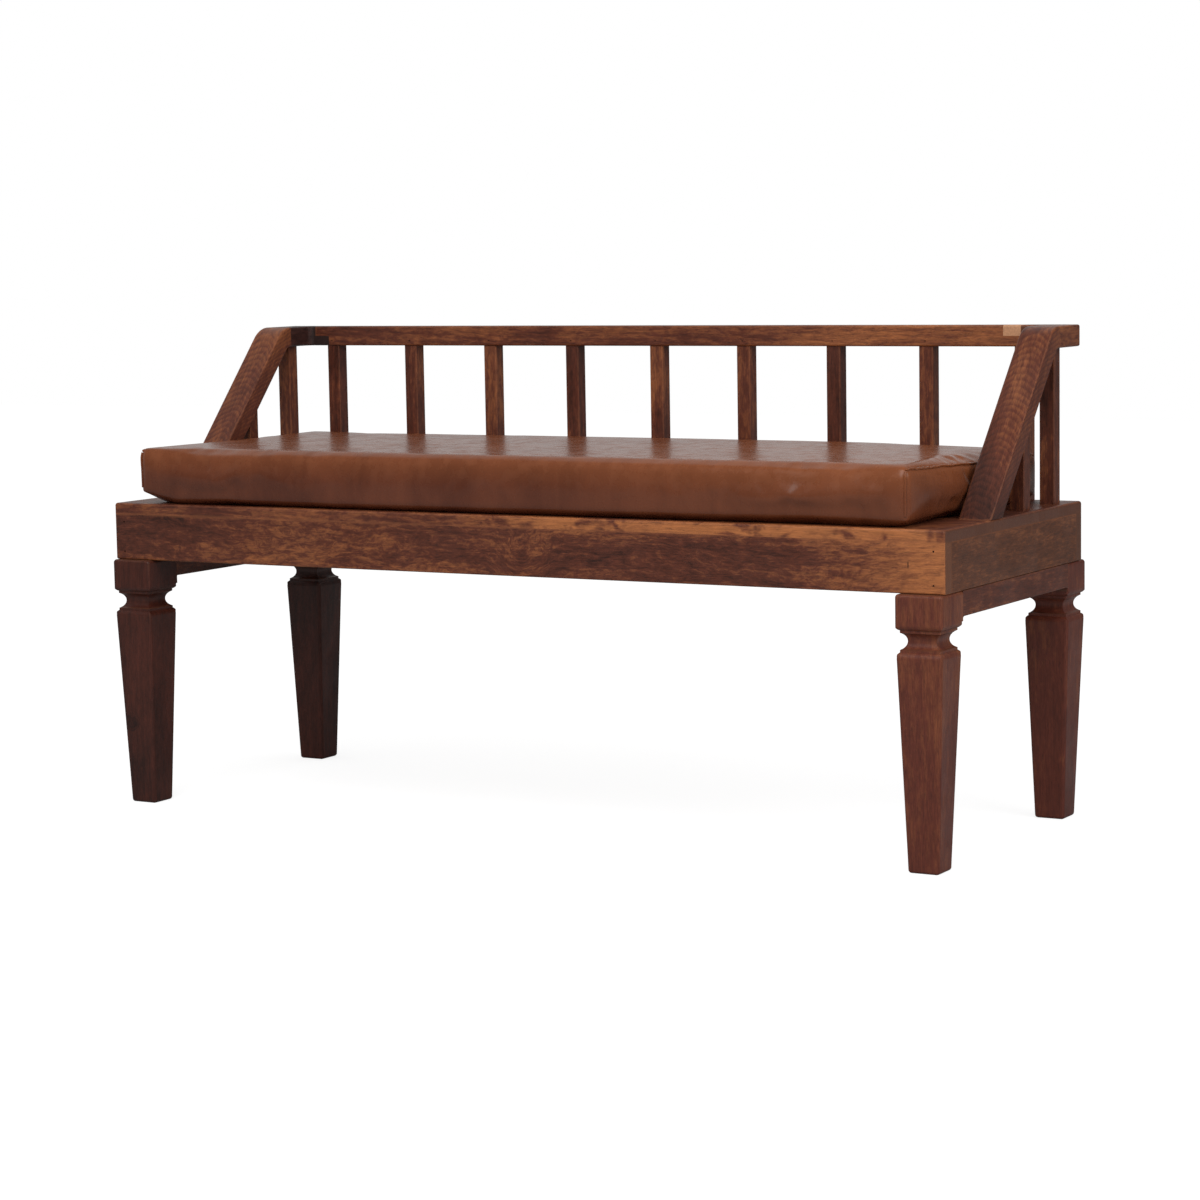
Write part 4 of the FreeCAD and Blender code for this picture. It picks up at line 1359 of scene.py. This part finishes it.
    def settle(self, piece: bpy.types.Object) -> None:
        """Lays the cushion flat on the seat, crowns it and keeps it clear of the arms.

        Args:
            piece: The object.
        """
        middle_y = (self.front_y + self.back_y) / 2
        half_depth = (self.back_y - self.front_y) / 2
        for vertex in piece.data.vertices:
            place = vertex.co
            along = min(abs(place.x) / self.half_length, 1.0)
            across = min(abs(place.y - middle_y) / half_depth, 1.0)
            up = max(0.0, (place.z - self.base_z) / self.height)
            bumps = self.unevenness * noise.noise(Vector((place.x * 6, place.y * 9, place.z * 12)))
            rise = self.crown * (1 - along**3) * (1 - 0.35 * across**4)
            place.z += up**2 * (rise + bumps + self.end_rise(place, middle_y))
            if across > 0.9:
                side = math.copysign(1.0, place.y - middle_y)
                ripple = noise.noise(Vector((place.x * 11, 3.0, place.z * 8)))
                place.y += side * self.ripple * ripple
            place.z += (1 - min(up, 1.0)) ** 2 * self.underside_lift(place)
            if place.y < self.arm_front and abs(place.x) > 0.5:
                share = min((self.arm_front - place.y) / self.swell_run, 1.0)
                place.x += share * (-self.left_swell if place.x < 0 else self.right_swell)
            before_arm = place.y < self.arm_front - self.swell_run
            clear_left = self.clear_x + (self.left_swell if before_arm else 0.0)
            place.x = max(-clear_left, min(self.clear_x + self.right_swell, place.x))
            place.y = max(self.clear_front, min(self.clear_back, place.y))
            place.z = max(self.base_z + self.seat_gap, min(self.clear_top, place.z))
        piece.data.update()

    def end_rise(self, place: Vector, middle_y: float) -> float:
        """Finds how far the top stands up at the ends, where the side panels hold it.

        Args:
            place: A place on the cushion.
            middle_y: Middle of its depth.

        Returns:
            The rise, in metres.
        """
        near_end = eased((abs(place.x) - self.rise_start) / self.rise_run)
        if place.x < 0:
            return self.left_rise * near_end
        forward = eased((middle_y + 0.16 - place.y) / 0.32)
        slope = eased((place.x - 0.1) / 0.4)
        return self.right_rise * near_end * forward - self.right_sag * slope * (1 - forward)

    def underside_lift(self, place: Vector) -> float:
        """Finds how far the lower edge stands off the seat, along the front and at the ends.

        Args:
            place: A place on the cushion.

        Returns:
            The lift, in metres.
        """
        front = eased((self.front_y + self.lift_run - place.y) / self.lift_run)
        right = eased((place.x + 0.4) / 0.9)
        left_corner = eased((-place.x - self.half_length + self.corner_run) / self.corner_run)
        right_end = eased((place.x - self.half_length + self.lift_run) / self.lift_run)
        along_front = front * (self.front_lift + (self.right_lift - self.front_lift) * right)
        corner = self.corner_lift * left_corner * front
        return max(along_front, corner, self.right_lift * right_end)

    def pinch(self, piece: bpy.types.Object) -> None:
        """Draws the cover in along its seams.

        Args:
            piece: The cover.
        """
        lines = [point for guide in self.seam_guides() for point in guide]
        held = [place for _, place, _, _ in map(piece.closest_point_on_mesh, lines)]
        tree = kdtree.KDTree(len(held))
        for index, place in enumerate(held):
            tree.insert(place, index)
        tree.balance()
        moves: list[tuple[int, Vector]] = []
        for vertex in piece.data.vertices:
            if abs(vertex.co.x) > self.half_length - 0.03:
                _, _, distance = tree.find(vertex.co)
                depth = self.pinch_depth * math.exp(-((distance / self.pinch_width) ** 2))
                moves.append((vertex.index, vertex.co - vertex.normal * depth))
        for index, place in moves:
            piece.data.vertices[index].co = place
        piece.data.update()

    def inner_block(self, cover: bpy.types.Object) -> bpy.types.Object:
        """Makes the foam block just inside the cover.

        Args:
            cover: The cover before it is subdivided.

        Returns:
            The foam object.
        """
        mesh = cover.data.copy()
        normals = [vertex.normal.copy() for vertex in mesh.vertices]
        for vertex, normal in zip(mesh.vertices, normals):
            vertex.co -= normal * self.foam_inset
        return add_object("cushion_foam_block", mesh)

    def seam_guides(self) -> list[list[Vector]]:
        """Finds the lines of the seams round both end panels, just outside the cover.

        Returns:
            One list of places for each seam.
        """
        top = self.base_z + self.height
        front = self.front_y - self.guide_stand
        guides = []
        for side, low_end in ((-1.0, self.seam_end_left), (1.0, self.seam_end_right)):
            x = side * (self.half_length + self.guide_stand)
            upper_start = Vector((x, self.back_y, top + 0.006))
            upper_end = Vector((x, front, top + 0.006))
            corner_start = Vector((x, front, top + self.guide_stand))
            corner_end = Vector((x, front, self.base_z + low_end))
            for start, end, steps in ((upper_start, upper_end, 60), (corner_start, corner_end, 24)):
                guides.append([start.lerp(end, step / steps) for step in range(steps + 1)])
        return guides

    def sew(self, cover: bpy.types.Object) -> bpy.types.Object:
        """Lays a raised seam along the upper and front edges of each end panel.

        Args:
            cover: The finished cover.

        Returns:
            The seams as one object.
        """
        curve = bpy.data.curves.new("seam_lines", "CURVE")
        curve.dimensions = "3D"
        curve.bevel_depth = self.seam_radius
        curve.bevel_resolution = 2
        curve.use_fill_caps = True
        for guide in self.seam_guides():
            spline = curve.splines.new("POLY")
            spline.points.add(len(guide) - 1)
            for point, near in zip(spline.points, guide):
                _, place, normal, _ = cover.closest_point_on_mesh(near)
                wobble = self.seam_wobble * noise.noise(near * 70)
                point.co = (*(place + normal * (self.seam_stand + wobble)), 1.0)
        line = add_object("seam_lines", curve)
        graph = bpy.context.evaluated_depsgraph_get()
        mesh = bpy.data.meshes.new_from_object(line.evaluated_get(graph))
        bpy.data.objects.remove(line)
        shade_smooth(mesh)
        return add_object("cushion_seams", mesh)

    def soften(self, piece: bpy.types.Object) -> None:
        """Subdivides the cover once.

        Args:
            piece: The object.
        """
        finer = piece.modifiers.new("finer", "SUBSURF")
        finer.levels = 1
        finer.render_levels = 1
        self.apply(piece, finer)
        shade_smooth(piece.data)


@dataclass
class Studio:
    """Camera, floor, lamps and world, in metres."""

    camera_place: Vector = field(default_factory=lambda: Vector((1.957887, -3.365226, 0.706413)))
    camera_right: Vector = field(
        default_factory=lambda: Vector((0.86721944, 0.49763912, -0.01690426))
    )
    camera_up: Vector = field(
        default_factory=lambda: Vector((-0.04171853, 0.10644769, 0.99344273))
    )
    lens: float = 94.0
    world_strength: float = 0.55
    front_sheen: float = 0.1
    back_sheen: float = 0.62
    bright_side: Place = (-0.86, 0.5, 0.1)
    floor_grey: Colour = (0.4, 0.4, 0.4)
    floor_glow: float = 0.8
    floor_half: float = 8.0

    def build(self) -> None:
        """Builds the whole studio."""
        self.place_camera()
        self.lay_floor()
        self.light_world()
        self.hang_lamps()
        bpy.context.scene.view_settings.view_transform = "Standard"

    def place_camera(self) -> None:
        """Puts the camera where the photograph was taken from."""
        data = bpy.data.cameras.new("camera")
        data.lens = self.lens
        data.sensor_width = 36.0
        data.clip_end = 100.0
        camera = add_object("camera", data)
        back = self.camera_right.cross(self.camera_up)
        turn = Matrix((self.camera_right, self.camera_up, back)).transposed()
        camera.matrix_world = Matrix.Translation(self.camera_place) @ turn.to_4x4()
        bpy.context.scene.camera = camera

    def lay_floor(self) -> None:
        """Lays a plain pale floor that keeps a soft shadow."""
        mesh = bpy.data.meshes.new("floor")
        shape = bmesh.new()
        bmesh.ops.create_grid(shape, x_segments=2, y_segments=2, size=self.floor_half)
        shape.to_mesh(mesh)
        shape.free()
        floor = add_object("floor", mesh)
        material = bpy.data.materials.new("floor_pale")
        material.use_nodes = True
        tree = material.node_tree
        tree.nodes.clear()
        wiring = Wiring(tree)
        matt = wiring.add("BsdfDiffuse")
        matt.inputs["Color"].default_value = (*self.floor_grey, 1.0)
        glow = wiring.add("Emission")
        seen = wiring.add("LightPath").outputs["Is Camera Ray"]
        wiring.feed(glow.inputs["Strength"], wiring.maths("MULTIPLY", seen, self.floor_glow))
        both = wiring.add("AddShader")
        wiring.feed(both.inputs[0], matt.outputs[0])
        wiring.feed(both.inputs[1], glow.outputs[0])
        output = wiring.add("OutputMaterial")
        wiring.feed(output.inputs["Surface"], both.outputs[0])
        mesh.materials.append(material)

    def light_world(self) -> None:
        """Sets soft light all round, brightest to polished faces from behind the bench."""
        world = bpy.data.worlds.new("studio")
        bpy.context.scene.world = world
        world.use_nodes = True
        tree = world.node_tree
        tree.nodes.clear()
        wiring = Wiring(tree)
        path = wiring.add("LightPath")
        heading = wiring.add("TexCoord").outputs["Generated"]
        behind = wiring.vector("DOT_PRODUCT", heading, self.bright_side)
        sheen = wiring.smooth(behind, 0.3, 0.8, self.front_sheen, self.back_sheen)
        glossy = wiring.maths(
            "MULTIPLY", path.outputs["Is Glossy Ray"], wiring.maths("SUBTRACT", sheen, self.world_strength)
        )
        seen = wiring.maths(
            "MULTIPLY_ADD", path.outputs["Is Camera Ray"], 1.0 - self.world_strength, self.world_strength
        )
        sky = wiring.add("Background")
        sky.inputs["Color"].default_value = (1.0, 1.0, 1.0, 1.0)
        wiring.feed(sky.inputs["Strength"], wiring.maths("ADD", glossy, seen))
        output = wiring.add("OutputWorld")
        wiring.feed(output.inputs["Surface"], sky.outputs[0])

    def hang_lamps(self) -> None:
        """Hangs one wide lamp above the front and a weaker one at the right."""
        for name, place, size, power in (
            ("lamp_front", (0.6, -2.6, 2.6), 2.4, 60.0),
            ("lamp_right", (2.8, -0.6, 1.8), 1.8, 22.0),
        ):
            data = bpy.data.lights.new(name, "AREA")
            data.shape = "SQUARE"
            data.size = size
            data.energy = power
            lamp = add_object(name, data)
            lamp.location = place
            aim = Vector((0.0, 0.0, 0.35)) - Vector(place)
            lamp.rotation_euler = aim.to_track_quat("-Z", "Y").to_euler()


def main() -> None:
    """Builds every class in order."""
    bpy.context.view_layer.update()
    Studio().build()
    for name, assembly in (
        ("seat box", SeatBox()),
        ("leg frames", LegFrames()),
        ("back and arms", BackAndArms()),
        ("hardware", Hardware()),
    ):
        assembly.dress()
        log.info("dressed the %s", name)
    Cushion().build()


if __name__ == "__main__":
    main()
